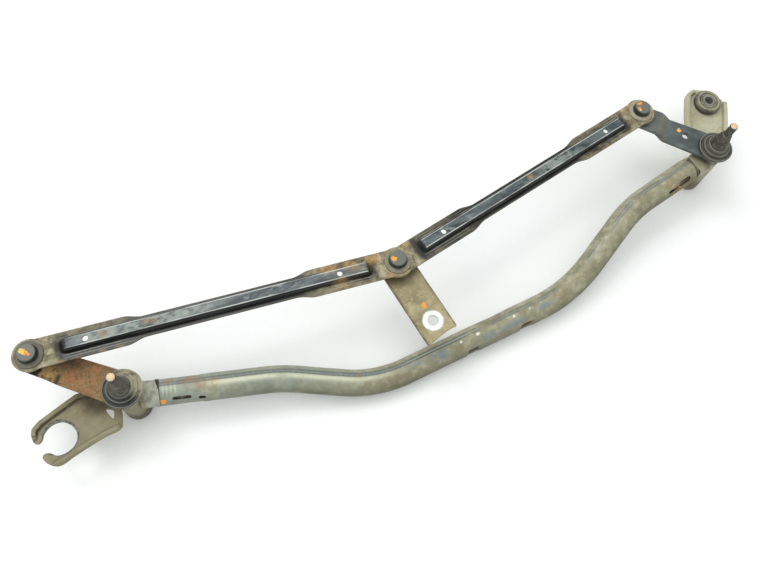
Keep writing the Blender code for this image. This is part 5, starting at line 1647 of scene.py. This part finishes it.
# Floor, lamps, surroundings and camera, in metres; a lamp is its name, place, size and power
studio = {
    "floorSize": 9.0,
    "floorCentre": (0.3, 0.0, -0.0004),
    "floorColour": (0.975, 0.99, 0.97, 1.0),
    "skyColour": (0.97, 0.985, 1.0, 1.0),
    "ambient": 0.7,
    "background": 1.0,
    "lamps": (("key", (-0.2, 1.0, 1.75), 1.0, 13.0), ("overhead", (0.3, 0.1, 2.2), 1.8, 12.0),
              ("side", (-1.1, -0.2, 1.2), 0.8, 2.0)),
    "aim": (0.29, -0.01, 0.04),
    "cameraPlace": (0.0885, -0.2164, 0.7205),
    "cameraRight": (0.90317, -0.42230, 0.07715),
    "cameraUp": (0.36880, 0.85525, 0.36404),
    "cameraBack": (-0.21972, -0.30034, 0.92818),
    "focalPixels": 770.0,
    "imagePixels": 768.0,
    "sensor": 36.0,
}


def makeFloor():
    half = studio["floorSize"] / 2
    corners = np.array([(-half, -half, 0), (half, -half, 0), (half, half, 0), (-half, half, 0)])
    mesh = bpy.data.meshes.new("floor")
    mesh.from_pydata((corners + np.array(studio["floorCentre"])).tolist(), [], [(0, 1, 2, 3)])
    floor = bpy.data.objects.new("floor", mesh)
    bpy.context.scene.collection.objects.link(floor)
    material, tree, shader = newMaterial("pale table")
    shade = tuple(0.98 * c for c in studio["floorColour"])
    finishSurface(tree, shader, over(tree, (300, 0.35, 0.7, 0.2), studio["floorColour"], shade), 0.6, 0.0)
    mesh.materials.append(material)


def makeLamps():
    for name, spot, size, power in studio["lamps"]:
        data = bpy.data.lights.new(name, "AREA")
        data.shape = "SQUARE"
        data.size = size
        data.energy = power
        lamp = bpy.data.objects.new(name, data)
        bpy.context.scene.collection.objects.link(lamp)
        lamp.location = spot
        forward = Vector((np.array(studio["aim"]) - np.array(spot)).tolist())
        lamp.rotation_euler = forward.to_track_quat("-Z", "Y").to_euler()


def makeWorld():
    # surroundings dimmer for what they light than for what the camera and reflections see
    world = bpy.data.worlds.new("studio")
    world.use_nodes = True
    bpy.context.scene.world = world
    tree = world.node_tree
    path = addNode(tree, "ShaderNodeLightPath").outputs
    shown = either(tree, path["Is Camera Ray"], path["Is Glossy Ray"], path["Is Transmission Ray"])
    strength = between(tree, shown, studio["ambient"], studio["background"])
    feed(tree, tree.nodes["Background"], {"Color": studio["skyColour"], "Strength": strength})


def makeCamera():
    data = bpy.data.cameras.new("camera")
    data.sensor_width = studio["sensor"]
    data.lens = studio["focalPixels"] / studio["imagePixels"] * studio["sensor"]
    data.clip_start = 0.01
    camera = bpy.data.objects.new("camera", data)
    rows = zip(studio["cameraRight"], studio["cameraUp"], studio["cameraBack"], studio["cameraPlace"])
    camera.matrix_world = Matrix([*rows, (0, 0, 0, 1)])
    bpy.context.scene.collection.objects.link(camera)
    bpy.context.scene.camera = camera


makeFloor()
makeLamps()
makeWorld()
makeCamera()
bpy.context.scene.view_settings.view_transform = "Standard"
print("studio ready")
